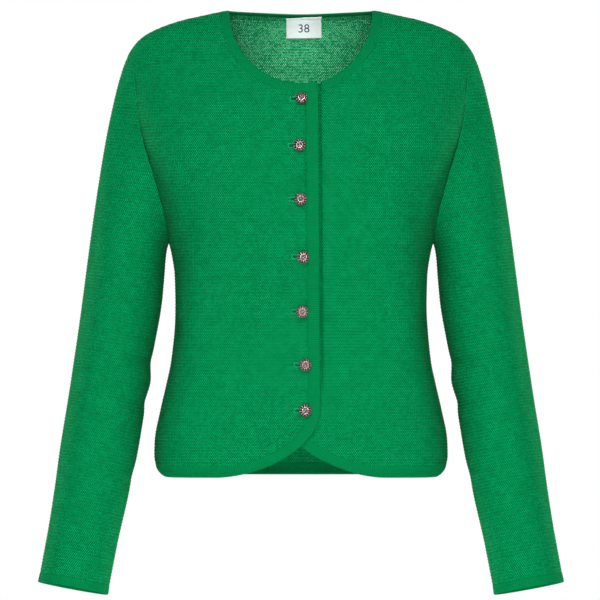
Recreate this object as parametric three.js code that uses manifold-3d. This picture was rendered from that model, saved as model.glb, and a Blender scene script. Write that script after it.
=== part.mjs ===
// A women's trachten cardigan in a ridged knit, filled out as if it were worn.
// Millimetres, +Z up. The front faces -Y and the wearer's left side is +X.
// The origin is the middle of the neck, level with the points where the shoulder seams meet it.
// Each panel is a wall of cloth on one shared torso form: the form gives the outer face, and the
// inner face is the outer one moved in by the cloth's thickness.

import * as THREE from "three";
import Module from "manifold-3d";

const wasm = await Module();
wasm.setup();

// Driving dimensions of the cloth
const PANEL_THICK = 2; // ridged knit of the body and sleeves
const BAND_THICK = 2.6; // doubled knit of the edgings
const BAND_PROUD = 0.3; // the edgings stand this far off the panels' outer face
const SEAM_GAP = 0.3; // between two pieces at a seam
const NECK_GAP = 0.5; // between the panels and the neck edging, whose curves differ slightly
const FRONT_BAND = 13; // width of the edging down the fronts and round the hem
const NECK_BAND = 10; // width of the edging round the neck
const CUFF_BAND = 10; // width of the edging at the wrists

// Driving dimensions of the cut
const HEM = -511; // height of the hem at the side seams
const HEM_DIP = 2.2; // the hem is this much higher at the front and lower at the back
const HEM_FADE = 60; // height above the hem over which that dip dies out
const NECK_HALF = 88; // half the width of the neckline between the shoulder seams
const NECK_FRONT_DROP = 92; // depth of the front neckline
const NECK_BACK_DROP = 1.4; // depth of the back neckline
const NECK_BACK_FADE = 36; // height below the neckline over which that drop dies out
const NECK_BAND_RISE = 1.3; // height of the edging's free edge above the origin at the shoulders
const LAP_TOP = 19; // how far each front edge passes the middle at the neck
const LAP_BOTTOM = 21; // and where the rounded corner starts
const CORNER_TOP = -436; // height where the front edge starts to curve away
const CORNER_WIDTH = 112; // width of the rounded corner
const CORNER_POWER = 1.8; // 2 would be an ellipse, and a lower power is flatter
const UNDER_LAP_SINK = 3.4; // the left front lies this far under the right one
const UNDER_LAP_CLEAR = 22; // it is fully sunk up to this distance past the middle
const UNDER_LAP_END = 66; // and level with the form from this distance on

// Driving dimensions of the armhole, an egg-shaped loop seen from the side
const ARM_TOP = -51; // the shoulder point
const ARM_BOTTOM = -255; // the underarm
const ARM_FRONT = 57; // how far the loop reaches forward of the side seam
const ARM_BACK = 52; // and backward
const ARM_EGG = 0.3; // share by which the loop is narrower at the top than at the bottom
const ARM_STEPS = 10; // points from the shoulder down to the underarm, on each side
const SHOULDER_STEPS = 8; // rows from the shoulder point up to the neck
const BODY_STEPS = 12; // rows from the hem up to the underarm
const CORNER_ROWS = 7; // rows up a rounded front corner
const BACK_COLUMNS = 18; // strips across the back
const FRONT_COLUMNS = 9; // strips across each front

// Driving dimensions of the buttons
const BUTTON_RADIUS = 7;
const BUTTON_HEIGHT = 4.6;
const BUTTON_STANDOFF = 1.6; // from the right front's face to the button's back
const BUTTON_PETALS = 7;
const SHANK_RADIUS = 1.1;
const HOLE_HALF_HEIGHT = 1.5;
const HOLE_INNER = 13; // the buttonhole reaches this far towards the side from the button line
const HOLE_OUTER = 1.5; // and this far towards the front edge

// The torso form, one row for each height: half width, depth forward and backward of the side seam,
// and how square the section is (0 is an ellipse, and below 0 it is drawn in at the diagonals).
const TORSO = [
  { z: -511, wide: 149, fore: 110, aft: 99, square: 0.09 },
  { z: -505, wide: 156, fore: 115, aft: 104, square: 0.09 },
  { z: -499, wide: 159, fore: 117.5, aft: 106.5, square: 0.09 },
  { z: -487, wide: 161, fore: 119.5, aft: 108, square: 0.09 },
  { z: -472, wide: 160.6, fore: 120, aft: 108, square: 0.09 },
  { z: -436, wide: 154, fore: 117, aft: 104, square: 0.09 },
  { z: -410, wide: 148, fore: 114, aft: 100, square: 0.09 },
  { z: -383, wide: 142.5, fore: 112, aft: 95, square: 0.09 },
  { z: -350, wide: 139.5, fore: 112, aft: 92, square: 0.09 },
  { z: -317, wide: 138, fore: 115, aft: 92, square: 0.09 },
  { z: -290, wide: 138.8, fore: 121, aft: 95, square: 0.08 },
  { z: -265, wide: 142.5, fore: 126, aft: 100, square: 0.07 },
  { z: -255, wide: 145, fore: 127, aft: 102, square: 0.065 },
  { z: -235, wide: 149, fore: 126.5, aft: 104, square: 0.06 },
  { z: -203, wide: 159, fore: 123, aft: 106, square: 0.055 },
  { z: -156, wide: 175.5, fore: 116, aft: 107, square: 0.05 },
  { z: -112, wide: 190, fore: 103, aft: 104, square: 0.02 },
  { z: -75, wide: 197, fore: 86, aft: 97, square: -0.03 },
  { z: -51, wide: 191.5, fore: 73, aft: 89.5, square: -0.05 },
  { z: -36, wide: 182.5, fore: 64, aft: 84, square: -0.06 },
  { z: -27, wide: 173, fore: 58.5, aft: 80, square: -0.07 },
  { z: -18, wide: 156, fore: 52.5, aft: 76.5, square: -0.08 },
  { z: -9.4, wide: 131, fore: 46.5, aft: 72.5, square: -0.09 },
  { z: -4.4, wide: 109, fore: 43, aft: 69.5, square: -0.1 },
  { z: 0, wide: 88, fore: 39.5, aft: 66, square: -0.1 },
  { z: 1.3, wide: 78.5, fore: 37.5, aft: 58, square: -0.1 },
];

// The sleeve below the armhole, one row for each section: height, side and depth of its middle,
// half its width seen from the front, and half its depth.
const SLEEVE = [
  { z: -288, x: 193.3, y: 4, half: 43.1, deep: 54 },
  { z: -317, x: 196.6, y: 4.5, half: 43.6, deep: 53 },
  { z: -370, x: 204.9, y: 3, half: 42.6, deep: 50 },
  { z: -423, x: 212.5, y: 0, half: 42.8, deep: 47 },
  { z: -476, x: 221.2, y: -4, half: 42.6, deep: 44.5 },
  { z: -529, x: 230.4, y: -9, half: 40.6, deep: 41 },
  { z: -581, x: 240.2, y: -15, half: 38.8, deep: 37 },
  { z: -633, x: 249.8, y: -21, half: 38.6, deep: 33 },
];
const CAP_END = -288; // height of the tube's first ring
const WRIST = -622.6; // height where the cuff edging starts
const CAP_STEPS = [0, 0.05, 0.12, 0.22, 0.34, 0.48, 0.63, 0.8, 1];
const TUBE_STEPS = 10; // rings from the end of the cap to the cuff
const ELBOW_STEP = 2; // the ring of the tube where the sleeve's solid is in two
const CUFF_RINGS = 3; // rings of the cuff edging
const SEAM_MARGIN = 0.05; // a little more gap at the armhole, whose two edges bend
const AXIS_STEP = 8; // the height over which the sleeve's direction is taken

// How the cap leaves the armhole's seam, from the shoulder (0) down to the underarm (1): shares of
// the way on in the body's cloth, straight out of it, and down. CAP_PULL is how strongly it does.
const CAP_LEAVE = [
  { z: 0, onward: 1, out: 0.1, down: 0 },
  { z: 0.5, onward: 0.3, out: 0.25, down: 0.9 },
  { z: 1, onward: 0, out: 0.5, down: 0.8 },
];
const CAP_PULL = { seamTop: 0.55, seamLow: 0.62, endTop: 0.95, endLow: 1.05, least: 34 };
// Over this turn from the shoulder the cap's way on comes round from straight out to square to the
// seam, so that it is smooth across the shoulder, where the seam's own way on turns from back to front.
const CAP_EASE = 1.1;

// Soft folds of the body, one row for each: angle round the form and height of the middle,
// half length, half width, lean from level in degrees, and height (below 0 for a trough).
const BODY_FOLDS = [
  { turn: -20, z: -446, long: 48, broad: 13, lean: -38, rise: -1.6 },
  { turn: 21, z: -444, long: 46, broad: 14, lean: 36, rise: -1.7 },
  { turn: -50, z: -236, long: 52, broad: 15, lean: 52, rise: -2.4 },
  { turn: 51, z: -233, long: 56, broad: 14, lean: -55, rise: -2.2 },
  { turn: -68, z: -352, long: 44, broad: 17, lean: -8, rise: -2.2 },
  { turn: 66, z: -346, long: 40, broad: 15, lean: 12, rise: -2 },
  { turn: 128, z: -340, long: 58, broad: 16, lean: 14, rise: -2.4 },
  { turn: -132, z: -352, long: 62, broad: 17, lean: -10, rise: -2.6 },
  { turn: 176, z: -372, long: 70, broad: 18, lean: 3, rise: -2 },
  { turn: 122, z: -206, long: 60, broad: 16, lean: 66, rise: -2.2 },
  { turn: -124, z: -200, long: 56, broad: 15, lean: -62, rise: -2.3 },
];

// Soft folds of a sleeve: angle round it (0 is the outside, 90 the front), share of the way from
// the armhole to the wrist, half length in degrees, half width, lean and height.
const SLEEVE_FOLDS = [
  { turn: 150, share: 0.3, arc: 62, broad: 9, lean: 8, rise: -1.7 },
  { turn: 196, share: 0.36, arc: 70, broad: 10, lean: -10, rise: 1.6 },
  { turn: 168, share: 0.43, arc: 58, broad: 9, lean: 9, rise: -1.8 },
  { turn: 120, share: 0.52, arc: 48, broad: 12, lean: 12, rise: -1.1 },
  { turn: 262, share: 0.4, arc: 46, broad: 11, lean: -12, rise: -1.2 },
  { turn: 205, share: 0.66, arc: 60, broad: 12, lean: 7, rise: -1.2 },
];

// The buttons, top to bottom: height, and how far each has drifted from the button line.
const BUTTONS = [
  { z: -100, drift: 0.4 },
  { z: -151, drift: -1.9 },
  { z: -209, drift: -0.9 },
  { z: -270.5, drift: 1.4 },
  { z: -329.5, drift: 0 },
  { z: -387, drift: 2.9 },
  { z: -436, drift: 2.6 },
];
const BUTTON_LINE = 19; // from the front edge in to the button line

const LABEL = { width: 40, middle: 3.5, top: 0.9, length: 24, thick: 1, tilt: 0.03, seat: 1 };

const COLOURS = { knit: 0x0b8a4a, edging: 0x0c8f4e, metal: 0x9a8a86, label: 0xf1f2f4 };

const BISECTIONS = 48;
const TURN_STEP = 1e-3; // the small steps that a slope is taken over
const HEIGHT_STEP = 0.2;

const rad = THREE.MathUtils.degToRad;
const range = (n, f) => Array.from({ length: n }, (_, i) => f(i));
const mix = THREE.MathUtils.lerp;
const smooth = THREE.MathUtils.smoothstep;

// A smooth monotone curve through one column of a table, against the height z.
function column(rows, key) {
  const sorted = [...rows].sort((a, b) => a.z - b.z);
  const x = sorted.map((r) => r.z);
  const y = sorted.map((r) => r[key]);
  const secant = range(x.length - 1, (i) => (y[i + 1] - y[i]) / (x[i + 1] - x[i]));
  const slope = x.map((_, i) => {
    if (i === 0) return secant[0];
    if (i === x.length - 1) return secant[i - 1];
    const [a, b] = [secant[i - 1], secant[i]];
    return a * b <= 0 ? 0 : (2 * a * b) / (a + b);
  });
  return (at) => {
    let i = 0;
    while (i < x.length - 2 && at > x[i + 1]) i += 1;
    const span = x[i + 1] - x[i];
    const t = (at - x[i]) / span;
    const [t2, t3] = [t * t, t * t * t];
    return (
      y[i] * (2 * t3 - 3 * t2 + 1) +
      slope[i] * span * (t3 - 2 * t2 + t) +
      y[i + 1] * (3 * t2 - 2 * t3) +
      slope[i + 1] * span * (t3 - t2)
    );
  };
}

const wideAt = column(TORSO, "wide");
const foreAt = column(TORSO, "fore");
const aftAt = column(TORSO, "aft");
const squareAt = column(TORSO, "square");

const across = (turn, c) => (Math.sin(turn) + c * Math.sin(3 * turn)) / (1 - c);
const along = (turn, c) => (Math.cos(turn) - c * Math.cos(3 * turn)) / (1 - c);

// The bisection that several outlines need: where f changes sign between a and b.
function rootOf(f, a, b) {
  const up = f(b) > f(a);
  for (let i = 0; i < BISECTIONS; i += 1) {
    const m = (a + b) / 2;
    if (f(m) > 0 === up) b = m;
    else a = m;
  }
  return (a + b) / 2;
}

const turnBetween = (a, b) => Math.atan2(Math.sin(a - b), Math.cos(a - b));

function foldRise(turn, z) {
  const reach = wideAt(z);
  return BODY_FOLDS.reduce((sum, fold) => {
    const apart = turnBetween(turn, rad(fold.turn));
    const [u, v] = [apart * reach, z - fold.z];
    const [c, s] = [Math.cos(rad(fold.lean)), Math.sin(rad(fold.lean))];
    const [far, off] = [(u * c + v * s) / fold.long, (v * c - u * s) / fold.broad];
    return sum + fold.rise * Math.exp(-far * far - off * off);
  }, 0);
}

// A point of the torso form. turn is 0 at the front, 90 degrees at the wearer's left side seam.
function bareForm(turn, z) {
  const c = squareAt(z);
  const forward = along(turn, c);
  const depth = forward > 0 ? foreAt(z) : aftAt(z);
  const dip = HEM_DIP * Math.cos(turn) * (1 - smooth(z, HEM, HEM + HEM_FADE));
  const fade = z > 0 ? 1 - z / NECK_BAND_RISE : smooth(z, -NECK_BACK_FADE, 0);
  const drop = NECK_BACK_DROP * Math.max(0, -Math.cos(turn)) * fade;
  return new THREE.Vector3(wideAt(z) * across(turn, c), -depth * forward, z + dip - drop);
}

function formNormal(turn, z) {
  const round = bareForm(turn + TURN_STEP, z).sub(bareForm(turn - TURN_STEP, z));
  const up = bareForm(turn, z + HEIGHT_STEP).sub(bareForm(turn, z - HEIGHT_STEP));
  return round.cross(up).normalize();
}

// A point at a height off the form, with the soft folds in it.
function form(turn, z, off = 0) {
  return bareForm(turn, z).addScaledVector(formNormal(turn, z), off + foldRise(turn, z));
}

// The angle round the form where it is x across at height z, on the front.
function turnAt(x, z) {
  const share = Math.min(1, Math.abs(x) / wideAt(z));
  const c = squareAt(z);
  return Math.sign(x) * rootOf((t) => across(t, c) - share, 0, Math.PI / 2);
}

// The angle where the form is y deep at height z, on the front or the back of the wearer's left.
function turnAtDepth(y, z, back) {
  const c = squareAt(z);
  const share = y / (back ? aftAt(z) : foreAt(z));
  const turn = rootOf((t) => share - along(t, c), 0, Math.PI / 2);
  return back ? Math.PI - turn : turn;
}

const ARM_MIDDLE = (ARM_TOP + ARM_BOTTOM) / 2;
const ARM_HALF = (ARM_TOP - ARM_BOTTOM) / 2;

const eggDepth = (spin) => Math.sin(spin) * (1 - (ARM_EGG * (1 + Math.cos(spin))) / 2);

// How deep the armhole is at height z: straight between the loop's points, as in the solids.
function armDepth(z, back) {
  const share = THREE.MathUtils.clamp((z - ARM_MIDDLE) / ARM_HALF, -1, 1);
  const step = (Math.acos(share) * ARM_STEPS) / Math.PI;
  const [above, below] = [Math.floor(step + 1e-9), Math.ceil(step - 1e-9)];
  const depthAt = (i) => eggDepth((Math.PI * i) / ARM_STEPS);
  const span = armHeight(below) - armHeight(above);
  const part = span ? (z - armHeight(above)) / span : 0;
  return (back ? ARM_BACK : ARM_FRONT) * mix(depthAt(above), depthAt(below), part);
}

// Where a front or back panel ends at its side: the side seam, the armhole or the shoulder seam.
function sideTurn(z, back) {
  const inArmhole = z > ARM_BOTTOM && z < ARM_TOP;
  return turnAtDepth(Math.max(SEAM_GAP / 2, inArmhole ? armDepth(z, back) : 0), z, back);
}

// A point of the front neckline. share is 0 at the panels' edge and 1 at the edging's free edge.
function neckPoint(spin, share) {
  const top = mix(0, NECK_BAND_RISE, share);
  const drop = mix(NECK_FRONT_DROP, NECK_FRONT_DROP + NECK_BAND_RISE - NECK_BAND, share);
  const half = mix(NECK_HALF, wideAt(NECK_BAND_RISE), share);
  return { x: half * Math.sin(spin), z: top - drop * Math.cos(spin) };
}

const lapAt = (z) => mix(LAP_TOP, LAP_BOTTOM, (-NECK_FRONT_DROP - z) / (-NECK_FRONT_DROP - CORNER_TOP));

// The rounded lower corner of a front, inset from its outline: spin goes from 0 at the front edge
// to 90 degrees at the hem. x grows past the middle, towards the other front.
function cornerPoint(spin, inset) {
  const middle = lapAt(CORNER_TOP) - CORNER_WIDTH;
  const [a, b] = [CORNER_WIDTH - inset, CORNER_TOP - HEM - inset];
  return {
    x: middle + a * Math.cos(spin) ** (2 / CORNER_POWER),
    z: CORNER_TOP - b * Math.sin(spin) ** (2 / CORNER_POWER),
  };
}

// How far past the middle a front panel reaches at height z (negative where it stops short of it).
function frontEdge(z, inset) {
  if (z >= CORNER_TOP) return lapAt(z) - inset;
  const bottom = HEM + inset;
  if (z <= bottom) return cornerPoint(Math.PI / 2, inset).x;
  return cornerPoint(
    rootOf((s) => z - cornerPoint(s, inset).z, 0, Math.PI / 2),
    inset,
  ).x;
}

// Half the width of the front neckline at height z.
function neckHalfAt(z) {
  const share = THREE.MathUtils.clamp(-z / NECK_FRONT_DROP, 0, 1);
  return NECK_HALF * Math.sqrt(1 - share * share);
}

// The left front's sink under the right one. side is +1 for the wearer's left.
function sinkAt(side, turn, z) {
  if (side < 0) return 0;
  const x = wideAt(z) * across(turn, squareAt(z));
  return UNDER_LAP_SINK * (1 - smooth(x, UNDER_LAP_CLEAR, UNDER_LAP_END));
}

// Makes a solid of an outer and an inner grid of points with the same rows and columns. A closed
// grid wraps round from its last column to its first, and an open one is capped on all four sides.
function wallGeometry(outer, inner, closed) {
  const [rows, cols] = [outer.length, outer[0].length];
  const points = [...outer.flat(), ...inner.flat()];
  const at = (layer, i, j) => layer * rows * cols + i * cols + (j % cols);
  const faces = [];
  const quad = (a, b, c, d) => faces.push([a, b, c], [a, c, d]);
  const lastCol = closed ? cols : cols - 1;
  for (let i = 0; i < rows - 1; i += 1) {
    for (let j = 0; j < lastCol; j += 1) {
      quad(at(0, i, j), at(0, i, j + 1), at(0, i + 1, j + 1), at(0, i + 1, j));
      quad(at(1, i, j), at(1, i + 1, j), at(1, i + 1, j + 1), at(1, i, j + 1));
    }
    if (!closed) {
      quad(at(0, i, 0), at(0, i + 1, 0), at(1, i + 1, 0), at(1, i, 0));
      quad(at(0, i, cols - 1), at(1, i, cols - 1), at(1, i + 1, cols - 1), at(0, i + 1, cols - 1));
    }
  }
  for (let j = 0; j < lastCol; j += 1) {
    quad(at(0, 0, j), at(1, 0, j), at(1, 0, j + 1), at(0, 0, j + 1));
    quad(at(0, rows - 1, j), at(0, rows - 1, j + 1), at(1, rows - 1, j + 1), at(1, rows - 1, j));
  }
  return solidGeometry(points, faces);
}

// A geometry whose shared points are merged and whose collapsed faces are left out, facing out.
function solidGeometry(points, faces) {
  const ids = new Map();
  const kept = [];
  const merged = points.map((p) => {
    const key = p.toArray().map((v) => Math.round(v * 500)).join();
    if (!ids.has(key)) {
      ids.set(key, kept.length);
      kept.push(p);
    }
    return ids.get(key);
  });
  const index = faces
    .map((f) => f.map((i) => merged[i]))
    .filter(([a, b, c]) => a !== b && b !== c && c !== a);
  const volume = index.reduce((sum, [a, b, c]) => {
    return sum + kept[a].dot(new THREE.Vector3().crossVectors(kept[b], kept[c]));
  }, 0);
  if (volume < 0) index.forEach((f) => f.reverse());
  const geometry = new THREE.BufferGeometry();
  geometry.setAttribute("position", new THREE.Float32BufferAttribute(kept.flatMap((p) => p.toArray()), 3));
  geometry.setIndex(index.flat());
  return geometry;
}

const armHeight = (step) => ARM_MIDDLE + ARM_HALF * Math.cos((Math.PI * step) / ARM_STEPS);
const ridgeHeight = (x) => rootOf((z) => wideAt(z) - x, 1, ARM_TOP);

// The heights of the rows above the underarm: the armhole's points, then even steps along the
// shoulder seam. The sleeve and the neck edging use the same ones, so their edges match.
const ARM_ROWS = range(ARM_STEPS + 1, (i) => armHeight(ARM_STEPS - i));
const SHOULDER_ROWS = range(SHOULDER_STEPS, (i) => {
  return ridgeHeight(mix(wideAt(ARM_TOP), NECK_HALF, (i + 1) / SHOULDER_STEPS));
});
const NECK_LOW_ROWS = [0, 8, 18].map((spin) => neckPoint(rad(spin), 0).z);

// The heights of a panel's rows, with closer ones where an outline curves.
function rowHeights(back) {
  const bottom = HEM + FRONT_BAND + SEAM_GAP;
  const body = range(BODY_STEPS, (i) => mix(bottom, ARM_BOTTOM, (i / BODY_STEPS) ** 1.2));
  const corner = range(CORNER_ROWS, (i) => {
    return cornerPoint(rad(78 * (1 - i / CORNER_ROWS)), FRONT_BAND + SEAM_GAP).z;
  });
  const extra = back ? [] : [...NECK_LOW_ROWS, ...corner];
  const fixed = [bottom, ...ARM_ROWS, ...SHOULDER_ROWS, ...extra];
  const loose = body.filter((z) => fixed.every((other) => Math.abs(other - z) > 4));
  return [...fixed, ...loose].sort((a, b) => a - b);
}

// A panel from rows of (turn, z) cells, lifted off the form by a height that may vary.
function panelGeometry(cells, lift, thick) {
  const layer = (depth) => cells.map((row) => row.map(([t, z]) => form(t, z, lift(t, z) - depth)));
  return wallGeometry(layer(0), layer(thick), false);
}

function frontGeometry(side) {
  const inset = FRONT_BAND + SEAM_GAP;
  const cells = rowHeights(false).map((z) => {
    const edge = -frontEdge(z, inset);
    const inner = z > -NECK_FRONT_DROP ? Math.max(neckHalfAt(z), edge) : edge;
    const [from, to] = [turnAt(inner, z), sideTurn(z, false)];
    return range(FRONT_COLUMNS + 1, (i) => [side * mix(from, to, i / FRONT_COLUMNS), z]);
  });
  return panelGeometry(cells, (t, z) => -sinkAt(side, t, z), PANEL_THICK);
}

// A point of a row across the back, from the wearer's left side to the right one.
function backTurn(z, i) {
  const side = sideTurn(z, true);
  return mix(side, 2 * Math.PI - side, i / BACK_COLUMNS);
}

function backGeometry() {
  const cells = rowHeights(true).map((z) => range(BACK_COLUMNS + 1, (i) => [backTurn(z, i), z]));
  return panelGeometry(cells, () => 0, PANEL_THICK);
}

// The armhole of the wearer's left, point by point: 0 is the shoulder, then down the front.
function armholeLoop() {
  return range(2 * ARM_STEPS, (j) => {
    const back = j > ARM_STEPS;
    const z = armHeight(back ? 2 * ARM_STEPS - j : j);
    const turn = turnAtDepth(armDepth(z, back), z, back);
    return { point: form(turn, z), normal: formNormal(turn, z) };
  });
}

const sleeveX = column(SLEEVE, "x");
const sleeveY = column(SLEEVE, "y");
const sleeveHalf = column(SLEEVE, "half");
const sleeveDeep = column(SLEEVE, "deep");
const sleeveMiddle = (z) => new THREE.Vector3(sleeveX(z), sleeveY(z), z);

// A point of the sleeve's tube, on a ring square to its axis. spin is 0 outside, 90 at the front.
function sleevePoint(spin, z) {
  const axis = sleeveMiddle(z - AXIS_STEP).sub(sleeveMiddle(z + AXIS_STEP)).normalize();
  const out = new THREE.Vector3(1, 0, 0).addScaledVector(axis, -axis.x).normalize();
  const fore = new THREE.Vector3().crossVectors(axis, out);
  return sleeveMiddle(z)
    .addScaledVector(out, sleeveHalf(z) * Math.cos(spin))
    .addScaledVector(fore, sleeveDeep(z) * Math.sin(spin));
}

function sleeveFoldRise(spin, z) {
  if (z > CAP_END) return 0;
  return SLEEVE_FOLDS.reduce((sum, fold) => {
    const apart = turnBetween(spin, rad(fold.turn));
    const height = mix(CAP_END, WRIST, fold.share) + Math.tan(rad(fold.lean)) * apart * sleeveHalf(z);
    return sum + fold.rise * Math.exp(-((apart / rad(fold.arc)) ** 2) - ((z - height) / fold.broad) ** 2);
  }, 0);
}

const [leaveOnward, leaveOut, leaveDown] = ["onward", "out", "down"].map((k) => column(CAP_LEAVE, k));

// The cap's line from one point of the armhole to the same point of the tube's first ring.
function capLine(here, alongSeam, spin) {
  const onward = new THREE.Vector3().crossVectors(here.normal, alongSeam).normalize();
  const inward = new THREE.Vector3(0, -here.point.y, ARM_MIDDLE - here.point.z);
  if (onward.dot(inward) < 0) onward.negate();
  onward.y *= smooth(Math.min(spin, 2 * Math.PI - spin), 0, CAP_EASE);
  onward.addScaledVector(here.normal, -onward.dot(here.normal)).normalize();
  const start = here.point.clone().addScaledVector(onward, SEAM_GAP + SEAM_MARGIN);
  const low = 0.5 - 0.5 * Math.cos(spin);
  const leave = new THREE.Vector3(0, 0, -leaveDown(low))
    .addScaledVector(onward, leaveOnward(low))
    .addScaledVector(here.normal, leaveOut(low))
    .normalize();
  const end = sleevePoint(spin, CAP_END);
  const arrive = sleevePoint(spin, CAP_END - AXIS_STEP).sub(end).normalize();
  const reach = start.distanceTo(end);
  leave.multiplyScalar(mix(CAP_PULL.seamTop, CAP_PULL.seamLow, low) * Math.max(reach, CAP_PULL.least));
  arrive.multiplyScalar(mix(CAP_PULL.endTop, CAP_PULL.endLow, low) * reach);
  return (t) => {
    const [t2, t3] = [t * t, t * t * t];
    return start
      .clone()
      .multiplyScalar(2 * t3 - 3 * t2 + 1)
      .addScaledVector(leave, t3 - 2 * t2 + t)
      .addScaledVector(end, 3 * t2 - 2 * t3)
      .addScaledVector(arrive, t3 - t2);
  };
}

// The sleeve's rings of points and their outward normals, from the armhole to the wrist.
function sleeveRings() {
  const loop = armholeLoop();
  const count = loop.length;
  const spins = loop.map((_, j) => (2 * Math.PI * j) / count);
  const lines = loop.map((here, j) => {
    const alongSeam = loop[(j + 1) % count].point.clone().sub(loop[(j + count - 1) % count].point);
    return capLine(here, alongSeam, spins[j]);
  });
  const cap = CAP_STEPS.map((t) => lines.map((line) => line(t)));
  const tube = range(TUBE_STEPS, (i) => {
    const z = mix(CAP_END, WRIST, (i + 1) / TUBE_STEPS);
    return spins.map((spin) => sleevePoint(spin, z));
  });
  const rings = [...cap, ...tube];
  const normals = rings.map((ring, i) =>
    ring.map((_, j) => {
      if (i === 0) return loop[j].normal;
      const round = ring[(j + 1) % count].clone().sub(ring[(j + count - 1) % count]);
      const down = rings[Math.min(i + 1, rings.length - 1)][j].clone().sub(rings[i - 1][j]);
      return round.cross(down).normalize();
    }),
  );
  return rings.map((ring, i) =>
    ring.map((point, j) => ({
      point: point.addScaledVector(normals[i][j], sleeveFoldRise(spins[j], point.z)),
      normal: normals[i][j],
    })),
  );
}

const mirrored = (rings, side) => rings.map((ring) => ring.map((p) => p.clone().setX(side * p.x)));

// Each sleeve is one knitted panel. Its solid is in two at the elbow, because the pieces of its
// collision follow two short tubes more closely than one long bent one, so that an arm fits in.
function sleeveGeometry(side, lower) {
  const all = sleeveRings();
  const elbow = CAP_STEPS.length - 1 + ELBOW_STEP;
  const pastElbow = all[elbow].map(({ point, normal }, j) => {
    const onward = all[elbow + 1][j].point.clone().sub(point).normalize();
    return { point: point.clone().addScaledVector(onward, SEAM_GAP), normal };
  });
  const rings = lower ? [pastElbow, ...all.slice(elbow + 1)] : all.slice(0, elbow + 1);
  const sunk = (place, depth) => place.point.clone().addScaledVector(place.normal, -depth);
  const layer = (depth) => mirrored(rings.map((ring) => ring.map((r) => sunk(r, depth))), side);
  return wallGeometry(layer(0), layer(PANEL_THICK), true);
}

function cuffGeometry(side) {
  const ring = (z, off) =>
    range(2 * ARM_STEPS, (j) => {
      const p = sleevePoint((Math.PI * j) / ARM_STEPS, z);
      return p.addScaledVector(p.clone().sub(sleeveMiddle(z)).normalize(), off);
    });
  const heights = range(CUFF_RINGS, (i) => WRIST - SEAM_GAP - (i * CUFF_BAND) / (CUFF_RINGS - 1));
  const layer = (off) => mirrored(heights.map((z) => ring(z, off)), side);
  return wallGeometry(layer(BAND_PROUD), layer(BAND_PROUD - BAND_THICK), true);
}

// An edging is a strip whose stations each give its outer and inner edge as (turn, z).
function stripGeometry(stations, lift) {
  const lanes = 3;
  const cells = stations.map(({ edge, root }) =>
    range(lanes, (i) => {
      const t = i / (lanes - 1);
      return [mix(root.turn, edge.turn, t), mix(root.z, edge.z, t)];
    }),
  );
  return panelGeometry(cells, (t, z) => lift(t, z) + BAND_PROUD, BAND_THICK);
}

const onFront = (side, { x, z }) => ({ turn: -side * turnAt(x, z), z });

// The edging of a front: down its edge, round the corner and along the hem to the side seam.
function frontBandGeometry(side) {
  const top = -NECK_FRONT_DROP;
  const straight = range(17, (i) => {
    const z = mix(top, CORNER_TOP, i / 17);
    const start = i === 0 ? 1 : 0;
    const root = { x: lapAt(z) - FRONT_BAND, z: z - start * neckClearance(lapAt(z) - FRONT_BAND) };
    const edge = { x: lapAt(z), z: z - start * neckClearance(lapAt(z)) };
    return { edge: onFront(side, edge), root: onFront(side, root) };
  });
  const corner = range(13, (i) => {
    const spin = rad((90 * i) / 12);
    return {
      edge: onFront(side, cornerPoint(spin, 0)),
      root: onFront(side, cornerPoint(spin, FRONT_BAND)),
    };
  });
  const last = corner[corner.length - 1];
  const stop = { edge: sideTurn(HEM, false), root: sideTurn(HEM + FRONT_BAND, false) };
  const hem = range(9, (i) => {
    const t = (i + 1) / 9;
    return {
      edge: { turn: mix(last.edge.turn, side * stop.edge, t), z: HEM },
      root: { turn: mix(last.root.turn, side * stop.root, t), z: HEM + FRONT_BAND },
    };
  });
  return stripGeometry([...straight, ...corner, ...hem], (t, z) => -sinkAt(side, t, z));
}

// The front edging starts this far below the lowest point of the neckline, to follow its curve.
const neckClearance = (x) => SEAM_GAP + NECK_FRONT_DROP * (Math.sqrt(1 - (x / NECK_HALF) ** 2) - 1);

function backHemGeometry() {
  const root = HEM + FRONT_BAND;
  const stations = range(BACK_COLUMNS + 1, (i) => ({
    edge: { turn: backTurn(HEM, i), z: HEM },
    root: { turn: backTurn(root, i), z: root },
  }));
  return stripGeometry(stations, () => 0);
}

// The neck edging runs in one piece from the right front's edge round the back to the left front's.
function neckBandGeometry() {
  const lap = Math.asin(LAP_TOP / NECK_HALF);
  const shares = [NECK_GAP / NECK_BAND, 0.5, 1];
  const onFrontNeck = (spin, sink) => {
    const places = shares.map((share) => neckPoint(spin, share));
    return { cells: places.map(({ x, z }) => [turnAt(x, z), z]), sink };
  };
  const onBackNeck = (i) => ({
    cells: shares.map((share) => [backTurn(0, i), NECK_BAND_RISE * share]),
    sink: 0,
  });
  const rows = [...NECK_LOW_ROWS, ...ARM_ROWS, ...SHOULDER_ROWS].filter((z) => z >= -NECK_FRONT_DROP);
  const spins = rows.map((z) => Math.acos(Math.max(0, -z / NECK_FRONT_DROP))).sort((a, b) => a - b);
  const stations = [
    ...[lap, lap / 2].map((spin) => onFrontNeck(spin, 0)),
    ...spins.map((spin) => onFrontNeck(-spin, 0)),
    ...range(BACK_COLUMNS - 1, (i) => onBackNeck(BACK_COLUMNS - 1 - i)),
    ...[...spins].reverse().map((spin) => onFrontNeck(spin, 1)),
    ...[-lap / 2, -lap].map((spin) => onFrontNeck(spin, 1)),
  ];
  const place = (t, z, sink, depth) => form(t, z, BAND_PROUD - depth - sink * sinkAt(1, t, z));
  const layer = (depth) => stations.map((s) => s.cells.map(([t, z]) => place(t, z, s.sink, depth)));
  return wallGeometry(layer(0), layer(BAND_THICK), false);
}

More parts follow.
